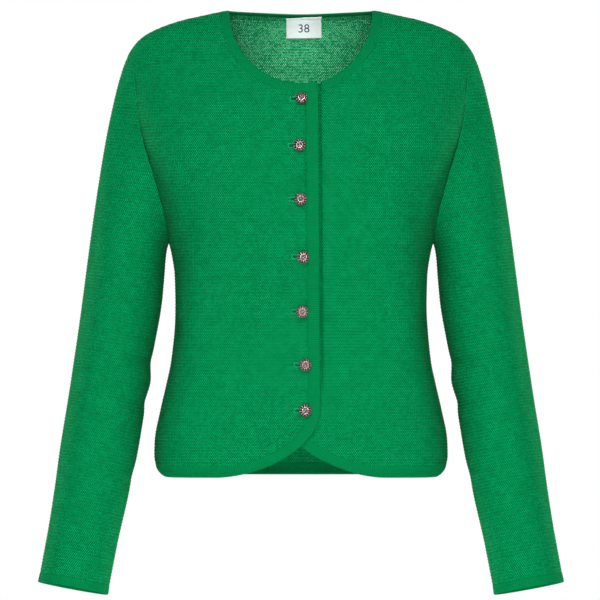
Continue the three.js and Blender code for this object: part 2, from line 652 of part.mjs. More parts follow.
function toManifold(geometry) {
  return new wasm.Manifold(
    new wasm.Mesh({
      numProp: 3,
      vertProperties: Float32Array.from(geometry.getAttribute("position").array),
      triVerts: Uint32Array.from(geometry.index.array),
    }),
  );
}

function fromManifold(solid) {
  const mesh = solid.getMesh();
  const points = range(mesh.vertProperties.length / mesh.numProp, (i) => {
    return new THREE.Vector3().fromArray(mesh.vertProperties, i * mesh.numProp);
  });
  const faces = range(mesh.triVerts.length / 3, (i) => [...mesh.triVerts.slice(3 * i, 3 * i + 3)]);
  return solidGeometry(points, faces);
}

// The right front with its buttonholes cut through: level slots with round ends.
function buttonedFrontGeometry() {
  const slots = BUTTONS.map((button) => {
    const slot = new THREE.Shape();
    slot.absarc(HOLE_HALF_HEIGHT - HOLE_INNER, 0, HOLE_HALF_HEIGHT, rad(90), rad(270));
    slot.absarc(HOLE_OUTER - HOLE_HALF_HEIGHT, 0, HOLE_HALF_HEIGHT, rad(-90), rad(90));
    const cutter = new THREE.ExtrudeGeometry(slot, { depth: 12, bevelEnabled: false, curveSegments: 5 });
    return cleaned(cutter.translate(0, 0, -6).applyMatrix4(buttonPlace(button, 0)));
  });
  const plain = toManifold(frontGeometry(-1));
  return fromManifold(slots.reduce((front, slot) => front.subtract(toManifold(slot)), plain));
}

// The frame of a button: z along the form's normal, x level, at a height off the right front.
function buttonPlace(button, off) {
  const turn = turnAt(lapAt(button.z) - BUTTON_LINE + button.drift, button.z);
  const out = formNormal(turn, button.z);
  const level = new THREE.Vector3(0, 0, 1).cross(out).normalize();
  const up = new THREE.Vector3().crossVectors(out, level);
  return new THREE.Matrix4().makeBasis(level, up, out).setPosition(form(turn, button.z, off));
}

function cleaned(geometry) {
  const position = geometry.getAttribute("position");
  const points = range(position.count, (i) => new THREE.Vector3().fromBufferAttribute(position, i));
  const order = geometry.index ? [...geometry.index.array] : range(position.count, (i) => i);
  return solidGeometry(points, range(order.length / 3, (i) => order.slice(3 * i, 3 * i + 3)));
}

// A domed metal button with a shank that passes through the buttonhole to the left front.
function buttonGeometry(shankLength) {
  const [r, h] = [BUTTON_RADIUS, BUTTON_HEIGHT];
  const dome = [
    [0, h],
    [0.24 * r, 0.96 * h],
    [0.34 * r, 0.9 * h],
    [0.62 * r, 0.7 * h],
    [0.84 * r, 0.42 * h],
    [0.94 * r, 0.2 * h],
    [r, 0.12 * h],
    [0.97 * r, 0],
  ];
  const shank = [
    [SHANK_RADIUS, 0],
    [SHANK_RADIUS, -shankLength],
    [0, -shankLength],
  ];
  const profile = [...dome, ...shank].map(([x, y]) => new THREE.Vector2(x, y)).reverse();
  const lathe = new THREE.LatheGeometry(profile, 2 * BUTTON_PETALS);
  const position = lathe.getAttribute("position");
  for (let i = 0; i < position.count; i += 1) {
    const [x, y, z] = [position.getX(i), position.getY(i), position.getZ(i)];
    const radius = Math.hypot(x, z);
    const petal = Math.cos(BUTTON_PETALS * Math.atan2(x, z));
    if (y > 0.3 * h && radius > 0.3 * r) position.setY(i, y + 0.3 * petal);
  }
  return cleaned(lathe.rotateX(rad(90)));
}

function buttonMesh(button, number) {
  const length = BUTTON_STANDOFF + UNDER_LAP_SINK - SEAM_GAP;
  const mesh = solid(`button_${number}`, buttonGeometry(length), COLOURS.metal, 0.4, 0.8);
  buttonPlace(button, BUTTON_STANDOFF).decompose(mesh.position, mesh.quaternion, mesh.scale);
  return mesh;
}

// The woven label lies on the back panel's inner face, under the neck edging.
function labelGeometry() {
  const rows = range(5, (i) => LABEL.top - (LABEL.length * i) / 4);
  const cells = rows.map((z) =>
    range(7, (j) => {
      const x = LABEL.middle + LABEL.width * (j / 6 - 0.5);
      return [Math.PI - turnAt(x, z), z + LABEL.tilt * Math.min(0, x - LABEL.middle)];
    }),
  );
  return panelGeometry(cells, () => -PANEL_THICK - LABEL.seat, LABEL.thick);
}

function solid(name, geometry, color, roughness = 0.9, metalness = 0) {
  geometry.computeVertexNormals();
  const mesh = new THREE.Mesh(geometry, new THREE.MeshStandardMaterial({ color, roughness, metalness }));
  mesh.name = name;
  return mesh;
}

const cardigan = new THREE.Group();
cardigan.add(
  solid("back", backGeometry(), COLOURS.knit),
  solid("front_right", buttonedFrontGeometry(), COLOURS.knit),
  solid("front_left", frontGeometry(1), COLOURS.knit),
  solid("upper_sleeve_right", sleeveGeometry(-1, false), COLOURS.knit),
  solid("lower_sleeve_right", sleeveGeometry(-1, true), COLOURS.knit),
  solid("upper_sleeve_left", sleeveGeometry(1, false), COLOURS.knit),
  solid("lower_sleeve_left", sleeveGeometry(1, true), COLOURS.knit),
  solid("cuff_right", cuffGeometry(-1), COLOURS.edging),
  solid("cuff_left", cuffGeometry(1), COLOURS.edging),
  solid("neck_band", neckBandGeometry(), COLOURS.edging),
  solid("front_band_right", frontBandGeometry(-1), COLOURS.edging),
  solid("front_band_left", frontBandGeometry(1), COLOURS.edging),
  solid("back_hem_band", backHemGeometry(), COLOURS.edging),
  solid("label", labelGeometry(), COLOURS.label, 0.6),
  ...BUTTONS.map((button, i) => buttonMesh(button, i + 1)),
);

export default cardigan;
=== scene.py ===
import math

import bpy
import numpy as np
from mathutils import Matrix, Vector


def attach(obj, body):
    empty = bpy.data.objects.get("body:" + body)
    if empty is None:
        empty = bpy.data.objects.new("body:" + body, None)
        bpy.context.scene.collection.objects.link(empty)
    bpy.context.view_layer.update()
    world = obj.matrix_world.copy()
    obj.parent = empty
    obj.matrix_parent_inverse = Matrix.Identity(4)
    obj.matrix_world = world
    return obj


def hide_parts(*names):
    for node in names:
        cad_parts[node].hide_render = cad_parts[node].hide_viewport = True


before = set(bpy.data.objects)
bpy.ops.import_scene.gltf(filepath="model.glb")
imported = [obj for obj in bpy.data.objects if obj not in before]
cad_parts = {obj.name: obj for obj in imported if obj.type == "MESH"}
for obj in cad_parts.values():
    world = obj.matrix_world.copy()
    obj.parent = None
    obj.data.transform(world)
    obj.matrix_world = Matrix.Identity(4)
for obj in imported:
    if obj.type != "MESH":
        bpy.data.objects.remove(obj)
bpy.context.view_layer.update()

# The back.
# One knitted panel from side seam to side seam, up to the shoulder seams and the back neck. It is
# wool in a purl stitch that stands in level ridges on both faces. The garment is filled out as if
# worn, so the panel lies on the form of a general figure, with the soft creases of worn knitwear.
MM = 0.001
CLOTH = 2 * MM  # thickness of the panels
RIDGE = 3.5 * MM  # height of one ridge of the knit
ROWS_A_RIDGE = 4  # rows of the mesh in one ridge
RIDGE_RELIEF = 0.32 * MM  # how far a ridge stands above and below the middle of the cloth
INNER_RELIEF = 0.8  # share of that on the inner face
STITCH = 2.3 * MM  # width of one stitch
EDGE_FADE = 3.5 * MM  # the ridges are pressed flat over this distance from a seam
SEAM_GAP = 0.3 * MM
HEM = -511 * MM
HEM_DIP = 2.2 * MM  # the hem is this much higher at the front and lower at the back
HEM_FADE = 60 * MM
BAND = 13 * MM  # width of the edgings of the fronts and the hem
NECK_BACK_DROP = 1.4 * MM
NECK_BACK_FADE = 36 * MM
NECK_BAND_RISE = 1.3 * MM
ARM_TOP = -51 * MM
ARM_BOTTOM = -255 * MM
ARM_MIDDLE = (ARM_TOP + ARM_BOTTOM) / 2
ARM_HALF = (ARM_TOP - ARM_BOTTOM) / 2
ARM_FRONT = 57 * MM  # half widths of the armhole, which is narrower low down by ARM_EGG
ARM_BACK = 52 * MM
ARM_EGG = 0.3
BACK_COLUMNS = 70

# Sections of the torso form: height, half width, depth forward and depth backward in millimetres,
# and how square the section is.
TORSO = np.array([
    (-511, 149, 110, 99, 0.09),
    (-505, 156, 115, 104, 0.09),
    (-499, 159, 117.5, 106.5, 0.09),
    (-487, 161, 119.5, 108, 0.09),
    (-472, 160.6, 120, 108, 0.09),
    (-436, 154, 117, 104, 0.09),
    (-410, 148, 114, 100, 0.09),
    (-383, 142.5, 112, 95, 0.09),
    (-350, 139.5, 112, 92, 0.09),
    (-317, 138, 115, 92, 0.09),
    (-290, 138.8, 121, 95, 0.08),
    (-265, 142.5, 126, 100, 0.07),
    (-255, 145, 127, 102, 0.065),
    (-235, 149, 126.5, 104, 0.06),
    (-203, 159, 123, 106, 0.055),
    (-156, 175.5, 116, 107, 0.05),
    (-112, 190, 103, 104, 0.02),
    (-75, 197, 86, 97, -0.03),
    (-51, 191.5, 73, 89.5, -0.05),
    (-36, 182.5, 64, 84, -0.06),
    (-27, 173, 58.5, 80, -0.07),
    (-18, 156, 52.5, 76.5, -0.08),
    (-9.4, 131, 46.5, 72.5, -0.09),
    (-4.4, 109, 43, 69.5, -0.1),
    (0, 88, 39.5, 66, -0.1),
    (1.3, 78.5, 37.5, 58, -0.1),
])

# Creases of the body: angle round the form in degrees (0 at the front), height of the middle, half
# length and half width in millimetres, lean from level in degrees, and height (below 0 a trough).
BODY_CREASES = [
    (-20, -446, 48, 13, -38, -1.6),
    (21, -444, 46, 14, 36, -1.7),
    (-50, -236, 52, 15, 52, -2.4),
    (51, -233, 56, 14, -55, -2.2),
    (-68, -352, 44, 17, -8, -2.2),
    (66, -346, 40, 15, 12, -2),
    (128, -340, 58, 16, 14, -2.4),
    (-132, -352, 62, 17, -10, -2.6),
    (176, -372, 70, 18, 3, -2),
    (122, -206, 60, 16, 66, -2.2),
    (-124, -200, 56, 15, -62, -2.3),
]

NECK_FRONT_DROP = 92 * MM
LAP_TOP = 19 * MM  # how far each front edge passes the middle at the neck
LAP_BOTTOM = 21 * MM
CORNER_TOP = -436 * MM
BUTTON_LINE = 19 * MM  # from the front edge to the line of buttons
DIMPLE = 1.3 * MM
DIMPLE_RADIUS = 8 * MM

# The buttons, top to bottom: height, and drift from their line, in millimetres.
BUTTONS = np.array([
    (-100, 0.4),
    (-151, -1.9),
    (-209, -0.9),
    (-270.5, 1.4),
    (-329.5, 0),
    (-387, 2.9),
    (-436, 2.6),
]) * MM


def smooth(value, low, high):
    share = np.clip((value - low) / (high - low), 0, 1)
    return share * share * (3 - 2 * share)


def between(start, leave, end, arrive, t):
    """A smooth curve from a start to an end, with its directions there, at the share t of the way."""
    first = start * (2 * t**3 - 3 * t**2 + 1) + leave * (t**3 - 2 * t**2 + t)
    return first + end * (3 * t**2 - 2 * t**3) + arrive * (t**3 - t**2)


def curve_through(x, y):
    """A smooth curve through the rows of a table, with no wave of its own between them."""
    secant = np.diff(y) / np.diff(x)
    before, after = secant[:-1], secant[1:]
    agree = before * after > 0
    middle = np.where(agree, 2 * before * after / np.where(agree, before + after, 1), 0)
    slope = np.concatenate([secant[:1], middle, secant[-1:]])

    def at(value):
        i = np.clip(np.searchsorted(x, value) - 1, 0, len(x) - 2)
        span = x[i + 1] - x[i]
        t = (value - x[i]) / span
        return between(y[i], slope[i] * span, y[i + 1], slope[i + 1] * span, t)

    return at


torso_height = TORSO[:, 0] * MM
wide_at = curve_through(torso_height, TORSO[:, 1] * MM)
fore_at = curve_through(torso_height, TORSO[:, 2] * MM)
aft_at = curve_through(torso_height, TORSO[:, 3] * MM)
square_at = curve_through(torso_height, TORSO[:, 4])


def across(turn, square):
    return (np.sin(turn) + square * np.sin(3 * turn)) / (1 - square)


def along(turn, square):
    return (np.cos(turn) - square * np.cos(3 * turn)) / (1 - square)


def bare_form(turn, z):
    """Points of the torso form. turn is 0 at the front and a quarter turn at the left side seam."""
    turn, z = np.broadcast_arrays(turn, z)
    square = square_at(z)
    forward = along(turn, square)
    depth = np.where(forward > 0, fore_at(z), aft_at(z))
    dip = HEM_DIP * np.cos(turn) * (1 - smooth(z, HEM, HEM + HEM_FADE))
    fade = np.where(z > 0, 1 - z / NECK_BAND_RISE, smooth(z, -NECK_BACK_FADE, 0))
    drop = NECK_BACK_DROP * np.maximum(0, -np.cos(turn)) * fade
    return np.stack([wide_at(z) * across(turn, square), -depth * forward, z + dip - drop], -1)


def unit(vectors):
    return vectors / np.linalg.norm(vectors, axis=-1, keepdims=True)


def form_normal(turn, z):
    round_step = 1e-3
    height_step = 0.2 * MM
    sideways = bare_form(turn + round_step, z) - bare_form(turn - round_step, z)
    upward = bare_form(turn, z + height_step) - bare_form(turn, z - height_step)
    return unit(np.cross(sideways, upward))


def crease_rise(turn, z):
    rise = np.zeros(np.broadcast(turn, z).shape)
    for at, height, length, broad, lean, peak in BODY_CREASES:
        apart = (turn - math.radians(at) + math.pi) % (2 * math.pi) - math.pi
        u, v = apart * wide_at(z), z - height * MM
        c, s = math.cos(math.radians(lean)), math.sin(math.radians(lean))
        far = (u * c + v * s) / (length * MM)
        off = (v * c - u * s) / (broad * MM)
        rise = rise + peak * MM * np.exp(-far * far - off * off)
    return rise


def lap_at(z):
    """How far past the middle each front edge reaches."""
    return LAP_TOP + (LAP_BOTTOM - LAP_TOP) * (-NECK_FRONT_DROP - z) / (-NECK_FRONT_DROP - CORNER_TOP)


def button_dimples(turn, z):
    """The fronts are drawn in a little where the buttons are sewn on."""
    x = np.where(np.cos(turn) > 0, wide_at(z) * across(turn, square_at(z)), 1)
    depth = np.zeros(x.shape)
    for height, drift in BUTTONS:
        away = np.hypot(x - lap_at(height) + BUTTON_LINE - drift, z - height)
        depth += DIMPLE * np.exp(-((away / DIMPLE_RADIUS) ** 2))
    return depth


def form(turn, z, off):
    """Points that lie off the form by a height, with the creases and dimples in it."""
    lift = off + crease_rise(turn, z) - button_dimples(turn, z)
    return bare_form(turn, z) + form_normal(turn, z) * np.asarray(lift)[..., None]


def root_of(f, low, high):
    """Where f, which rises from low to high, is nought. Works on whole arrays."""
    low, high = np.array(low, float), np.array(high, float)
    for _ in range(48):
        middle = (low + high) / 2
        above = f(middle) > 0
        high = np.where(above, middle, high)
        low = np.where(above, low, middle)
    return (low + high) / 2


def turn_at_depth(y, z, back):
    share = y / (aft_at(z) if back else fore_at(z))
    square = square_at(z)
    quarter = np.full(np.shape(z), math.pi / 2)
    turn = root_of(lambda t: share - along(t, square), 0 * quarter, quarter)
    return math.pi - turn if back else turn


def egg_depth(spin):
    return np.sin(spin) * (1 - ARM_EGG * (1 + np.cos(spin)) / 2)


def side_turn(z, back):
    """Where a panel ends at its side: the side seam, the armhole or the shoulder seam."""
    spin = np.arccos(np.clip((z - ARM_MIDDLE) / ARM_HALF, -1, 1))
    depth = (ARM_BACK if back else ARM_FRONT) * egg_depth(spin)
    return turn_at_depth(np.maximum(0, depth), z, back)


heights = np.linspace(HEM, 0, 2001)
mean_depth = (fore_at(heights) + aft_at(heights)) / 2
climbs = np.concatenate([[0], np.cumsum(np.hypot(np.diff(heights), np.diff(mean_depth)))])


def ridges_at(z):
    """How many ridges of knit lie below a height, counted up the cloth from the hem."""
    return np.interp(z, heights, climbs) / RIDGE


def course_heights(bottom):
    """Heights of a panel's rows of mesh: a few to each ridge, from its lower edge up to the neck."""
    courses = np.interp(np.arange(0, climbs[-1], RIDGE / ROWS_A_RIDGE), climbs, heights)
    clear = RIDGE / ROWS_A_RIDGE / 2
    courses = courses[(courses > bottom + clear) & (courses < -clear)]
    return np.concatenate([[bottom], courses, [0]])


def round_cloth(turn, z, middle):
    """How far round the cloth each point lies from a middle line, on its own level."""
    fine = middle + np.linspace(-0.6 * math.pi, 0.6 * math.pi, 241)
    line = bare_form(fine[None, :], z[:, None])
    steps = np.linalg.norm(np.diff(line, axis=1), axis=-1)
    reach = np.concatenate([np.zeros((len(z), 1)), np.cumsum(steps, axis=1)], axis=1)
    reach -= reach[:, 120:121]
    return np.array([np.interp(t, fine, r) for t, r in zip(turn, reach)])


def knit_relief(ridges, edge_distance):
    """The ridges' height, pressed flat towards the seams."""
    return RIDGE_RELIEF * np.cos(2 * math.pi * ridges) * smooth(edge_distance, 0, EDGE_FADE)


def wall_faces(rows, cols, cloth, joined):
    """The quads of a wall of cloth, as places in its outer grid followed by those in its inner one.
    cloth says which cells are there, and joined which rows close on themselves."""
    out = np.arange(rows * cols).reshape(rows, cols)
    inn = out + rows * cols
    a, b, c, d = out[:-1, :-1], out[:-1, 1:], out[1:, 1:], out[1:, :-1]
    e, f, g, h = inn[:-1, :-1], inn[:-1, 1:], inn[1:, 1:], inn[1:, :-1]
    ring = np.pad(cloth, 1)
    left, right = cloth & ~ring[1:-1, :-2], cloth & ~ring[1:-1, 2:]
    below, above = cloth & ~ring[:-2, 1:-1], cloth & ~ring[2:, 1:-1]
    shut = joined[:-1] & joined[1:]
    left[:, 0] &= ~shut
    right[:, -1] &= ~shut
    kinds = [
        (cloth, (a, b, c, d), 0),
        (cloth, (e, h, g, f), 1),
        (left, (a, d, h, e), 0),
        (right, (b, f, g, c), 0),
        (below, (a, e, f, b), 0),
        (above, (d, c, g, h), 0),
    ]
    quads = [np.stack([corner[where] for corner in corners], -1) for where, corners, _ in kinds]
    sides = [np.full(len(q), side) for q, (_, _, side) in zip(quads, kinds)]
    return np.concatenate(quads), np.concatenate(sides)


def placed(name, data):
    """A new object of the scene."""
    thing = bpy.data.objects.new(name, data)
    bpy.context.scene.collection.objects.link(thing)
    return thing


def mesh_piece(name, points, quads, uv, finish, materials):
    """A smooth mesh of quads. uv has a place for each point, finish a material for each quad."""
    a, b, c, d = (points[quads[:, k]] for k in range(4))
    volume = np.einsum("ij,ij->", a, np.cross(b, c)) + np.einsum("ij,ij->", a, np.cross(c, d))
    if volume < 0:
        quads = quads[:, ::-1]
    mesh = bpy.data.meshes.new(name)
    mesh.vertices.add(len(points))
    mesh.vertices.foreach_set("co", points.astype(np.float32).ravel())
    mesh.loops.add(quads.size)
    mesh.loops.foreach_set("vertex_index", quads.astype(np.int32).ravel())
    mesh.polygons.add(len(quads))
    mesh.polygons.foreach_set("loop_start", np.arange(0, quads.size, 4, dtype=np.int32))
    mesh.polygons.foreach_set("material_index", finish.astype(np.int32))
    mesh.update(calc_edges=True)
    corner_uv = uv[quads.ravel()].astype(np.float32).ravel()
    mesh.uv_layers.new(name="knit").uv.foreach_set("vector", corner_uv)
    mesh.shade_smooth()
    for material in materials:
        mesh.materials.append(material)
    return placed(name, mesh)


def welded(points, quads, uv, finish, name, materials):
    """The same mesh with its doubled points made one, and what that collapses left out. The uv of
    each corner is kept."""
    keys = np.round(points / (0.002 * MM)).astype(np.int64)
    _, first, back = np.unique(keys, axis=0, return_index=True, return_inverse=True)
    back = back.ravel()
    merged = back[quads]
    corner_uv = uv[quads]
    area = np.linalg.norm(
        np.cross(points[quads[:, 2]] - points[quads[:, 0]], points[quads[:, 3]] - points[quads[:, 1]]),
        axis=1,
    )
    same = (merged[:, :, None] == merged[:, None, :]).sum(axis=(1, 2)) > 4
    keep = ~same & (area > 0)
    piece = mesh_piece(name, points[first], merged[keep], uv[first], finish[keep], materials)
    flipped = piece.data.loops[0].vertex_index != merged[keep][0, 0]
    corners = corner_uv[keep][:, ::-1] if flipped else corner_uv[keep]
    piece.data.uv_layers["knit"].uv.foreach_set("vector", corners.astype(np.float32).ravel())
    return piece


def feed(tree, made, **inputs):
    """Gives a node its inputs, by name or number: values, other nodes or other nodes' outputs."""
    for key, value in inputs.items():
        socket = made.inputs[int(key[1:])] if key[0] == "_" else made.inputs[key.replace("_", " ")]
        if isinstance(value, bpy.types.Node):
            value = value.outputs[0]
        if isinstance(value, bpy.types.NodeSocket):
            tree.links.new(value, socket)
        else:
            socket.default_value = value
    return made


def node(tree, kind, settings=None, **inputs):
    made = tree.nodes.new(kind)
    for key, value in (settings or {}).items():
        setattr(made, key, value)
    return feed(tree, made, **inputs)


def maths(tree, operation, first, second=0.0, third=0.0):
    made = node(tree, "ShaderNodeMath", {"operation": operation}, _0=first, _1=second, _2=third)
    return made.outputs[0]


def waves(tree, value):
    """A cosine wave with one crest for each whole number."""
    return maths(tree, "COSINE", maths(tree, "MULTIPLY", value, 2 * math.pi))


def swayed(tree, tone, cloud, most):
    """A tone moved up and down by a noise, by half of the most at each end."""
    return maths(tree, "MULTIPLY_ADD", maths(tree, "SUBTRACT", cloud, 0.5), most, tone)


def blended(tree, share, first, second):
    """A colour between two others."""
    ends = [(*value, 1) if isinstance(value, tuple) else value for value in (first, second)]
    made = node(tree, "ShaderNodeMix", {"data_type": "RGBA"}, Factor=share, A=ends[0], B=ends[1])
    return made.outputs["Result"]


def noise(tree, vector, scale, detail=2.0):
    return node(tree, "ShaderNodeTexNoise", Vector=vector, Scale=scale, Detail=detail).outputs[0]


def new_material(name, roughness):
    """A material with its tree, its shader and the place in the object that it paints by."""
    material = bpy.data.materials.new(name)
    material.use_nodes = True
    tree = material.node_tree
    shader = tree.nodes["Principled BSDF"]
    shader.inputs["Roughness"].default_value = roughness
    return material, tree, shader, node(tree, "ShaderNodeTexCoord").outputs["Object"]


def painted(tree, shader, colour, height, strength, depth):
    """Gives a shader its colour and the relief of its surface."""
    bump = node(tree, "ShaderNodeBump", Height=height, Strength=strength, Distance=depth)
    feed(tree, shader, Base_Color=colour, Normal=bump)


def knit_place(tree):
    """The stitch across and the course up of each point, from the mesh."""
    uv = node(tree, "ShaderNodeUVMap", {"uv_map": "knit"})
    return node(tree, "ShaderNodeSeparateXYZ", Vector=uv).outputs


def woollen(shader, weight, roughness):
    """The soft rim of light on wool."""
    shader.inputs["Specular IOR Level"].default_value = 0.01
    shader.inputs["Sheen Weight"].default_value = weight
    shader.inputs["Sheen Roughness"].default_value = roughness
    shader.inputs["Sheen Tint"].default_value = (0.24, 0.9, 0.26, 1)


def purl_knit(name, low, high):
    """Wool in purl ridges. low and high each give the colours in the valleys, on the loops and on
    the loops' tops, how strongly the tops stand out and how unevenly, below and above the chest.
    The valleys' darker colour is painted shade and the tops' lighter colour a painted highlight."""
    material, tree, shader, place = new_material(name, 0.95)
    stitch, ridge, _ = knit_place(tree)
    level = node(tree, "ShaderNodeSeparateXYZ", Vector=place).outputs["Z"]
    chest = node(tree, "ShaderNodeMapRange", Value=level, _1=-0.2, _2=-0.11)
    below_neck = node(tree, "ShaderNodeMapRange", Value=level, _1=-0.0075, _2=-0.006, _3=1.0, _4=0.4)
    wander = maths(tree, "MULTIPLY", maths(tree, "SUBTRACT", noise(tree, place, 45.0), 0.5), 0.5)
    ridge_wave = waves(tree, ridge)
    half_course = maths(tree, "FLOOR", maths(tree, "ADD", maths(tree, "MULTIPLY", ridge, 2.0), 0.5))
    staggered = maths(tree, "MULTIPLY_ADD", half_course, 0.5, maths(tree, "ADD", stitch, wander))
    own_stitch = maths(tree, "FLOOR", maths(tree, "ADD", staggered, 0.5))
    own_place = node(tree, "ShaderNodeCombineXYZ", X=own_stitch, Y=half_course)
    chance = node(tree, "ShaderNodeTexWhiteNoise", Vector=own_place).outputs["Value"]
    loop_wave = maths(tree, "MULTIPLY", waves(tree, staggered), maths(tree, "ABSOLUTE", ridge_wave))
    loops = maths(tree, "MULTIPLY_ADD", loop_wave, 0.5, 0.5)
    on_ridge = maths(tree, "MULTIPLY_ADD", ridge_wave, 0.5, 0.5)
    height = maths(tree, "MULTIPLY_ADD", on_ridge, 0.22, maths(tree, "MULTIPLY", loops, 0.78))
    fuzz = noise(tree, place, 1600.0, 3.0)
    patches = noise(tree, place, 70.0, 1.0)
    contrast = node(tree, "ShaderNodeMapRange", Value=patches, _1=0.35, _2=0.65, _3=0.9, _4=1.5)
    # Painted shade and light in the knit: the tone is darker in the valleys and lighter on the loops, and
    # varies at random.
    tone = maths(tree, "MULTIPLY_ADD", maths(tree, "SUBTRACT", height, 0.5), contrast, 0.5)
    tone = node(tree, "ShaderNodeClamp", Value=swayed(tree, swayed(tree, tone, fuzz, 0.5), chance, 0.25))
    # The loops' tops take the tip colour as a painted highlight.
    tips = maths(tree, "MULTIPLY", maths(tree, "POWER", loops, 4.0), contrast)
    made = []
    for deep, face, tip, speck, uneven in (low, high):
        own = maths(tree, "MULTIPLY_ADD", chance, 2 * uneven * speck, (1 - uneven) * speck)
        loop = blended(tree, tone, deep, face)
        made.append(blended(tree, maths(tree, "MULTIPLY", tips, own), loop, tip))
    # On the reverse the high colours paint the inside of the upper back lighter above the chest, less so at
    # the very top: painted light.
    colour = blended(tree, maths(tree, "MULTIPLY", chest, below_neck), made[0], made[1])
    painted(tree, shader, colour, maths(tree, "MULTIPLY_ADD", fuzz, 0.25, height), 0.9, 0.8 * MM)
    woollen(shader, 0.035, 0.18)
    return material


# The wool's colours: painted shade in the valleys, its own colour on the loops, a painted highlight on the
# loops' tops, then how strongly and how unevenly the tops show.
WOOL = ((0.0002, 0.05, 0.013), (0.0004, 0.2, 0.055), (0.004, 0.38, 0.14), 0.6, 0.4)
# The upper inside of the back is painted lighter as painted light, with a brighter painted highlight on the
# loops' tops.
INSIDE_PAINTED_LIGHT = ((0.001, 0.14, 0.046), (0.007, 0.4, 0.15), (0.28, 1.0, 0.52), 0.8, 0.9)
KNIT = [purl_knit("wool_purl_face", WOOL, WOOL), purl_knit("wool_purl_reverse", WOOL, INSIDE_PAINTED_LIGHT)]


def panel_piece(name, turn, z, middle, sink, cloth):
    """A panel from the angles of its points, row by row, at heights z. sink moves it inwards."""
    height = np.broadcast_to(z[:, None], turn.shape)
    reach = round_cloth(turn, z, middle)
    ridges = np.broadcast_to(ridges_at(z)[:, None], turn.shape)
    side = np.minimum(np.abs(reach - reach[:, :1]), np.abs(reach[:, -1:] - reach))
    ends = np.minimum(ridges - ridges[:1], ridges[-1:] - ridges) * RIDGE
    relief = knit_relief(ridges, np.minimum(side, ends))
    outer = form(turn, height, relief - sink)
    inner = form(turn, height, -CLOTH - relief * INNER_RELIEF - sink)
    points = np.concatenate([outer.reshape(-1, 3), inner.reshape(-1, 3)])
    uv = np.stack([reach / STITCH, ridges], -1).reshape(-1, 2)
    quads, finish = wall_faces(*turn.shape, cloth, np.zeros(len(z), bool))
    return mesh_piece(name, points, quads, np.concatenate([uv, uv]), finish, KNIT)


back_rows = course_heights(HEM + BAND + SEAM_GAP)
back_side = side_turn(back_rows, True)
back_share = np.linspace(-1, 1, BACK_COLUMNS + 1)
back_apart = (math.pi - back_side)[:, None] * back_share[None, :]
back_whole = np.ones((len(back_rows) - 1, BACK_COLUMNS), bool)
back = panel_piece("back_panel", math.pi + back_apart, back_rows, math.pi, 0, back_whole)
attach(back, "root")
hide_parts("back")

# The fronts.
# Two knitted panels with rounded lower corners. The right one laps over the left and has seven
# level buttonholes. The left one lies under it, so it is sunk there by a little more than its own
# thickness.
NECK_HALF = 88 * MM
CORNER_WIDTH = 112 * MM
CORNER_POWER = 1.8
UNDER_LAP_SINK = 3.4 * MM
UNDER_LAP_CLEAR = 22 * MM
UNDER_LAP_END = 66 * MM
LAP_GROOVE = 5.5 * MM  # depth of the groove in the left front along the placket's edge
LAP_GROOVE_AWAY = 1.1 * MM
LAP_GROOVE_HALF = 1.7 * MM
LAP_GROOVE_FADE = 55 * MM  # it fades out over this height above the rounded corner
LAP_COLUMNS = np.array([-1.6, -0.4, 0.6, 1.4, 2.2, 3.2, 4.8, 7]) * MM  # from the lap's edge
FRONT_COLUMNS = 27  # from the placket to the side
HOLE_INNER = 10.6 * MM  # the open part of a buttonhole, from the line towards the side
HOLE_OUTER = 1.5 * MM
HOLE_COLUMNS = 5
HOLE_ROWS = 3


def turn_at(x, z):
    """The angle round the form of a point x across at height z, on the front."""
    x, z = np.broadcast_arrays(x, z)
    share, square = np.minimum(1, np.abs(x) / wide_at(z)), square_at(z)
    turn = root_of(lambda t: across(t, square) - share, np.zeros(x.shape), np.full(x.shape, math.pi / 2))
    return np.sign(x) * turn


def corner_point(spin, inset):
    """The rounded corner, from the front edge at 0 to the hem at a quarter turn."""
    a, b = CORNER_WIDTH - inset, CORNER_TOP - HEM - inset
    x = lap_at(CORNER_TOP) - CORNER_WIDTH + a * np.cos(spin) ** (2 / CORNER_POWER)
    return x, CORNER_TOP - b * np.sin(spin) ** (2 / CORNER_POWER)


def front_edge(z, inset):
    """How far past the middle a front reaches at height z."""
    fall = np.clip((CORNER_TOP - z) / (CORNER_TOP - HEM - inset), 0, 1)
    spin = np.arcsin(fall ** (CORNER_POWER / 2))
    return np.where(z >= CORNER_TOP, lap_at(z) - inset, corner_point(spin, inset)[0])


def neck_half_at(z):
    share = np.clip(-z / NECK_FRONT_DROP, 0, 1)
    return NECK_HALF * np.sqrt(1 - share * share)


def sink_at(side, turn, z):
    """How far the left front is sunk under the right one, with a groove along the placket's edge."""
    x = wide_at(z) * across(turn, square_at(z))
    groove = LAP_GROOVE * np.exp(-(((x - lap_at(z) - LAP_GROOVE_AWAY) / LAP_GROOVE_HALF) ** 2))
    groove = groove * smooth(z, CORNER_TOP, CORNER_TOP + LAP_GROOVE_FADE)
    return (UNDER_LAP_SINK * (1 - smooth(x, UNDER_LAP_CLEAR, UNDER_LAP_END)) + groove) * (side > 0)


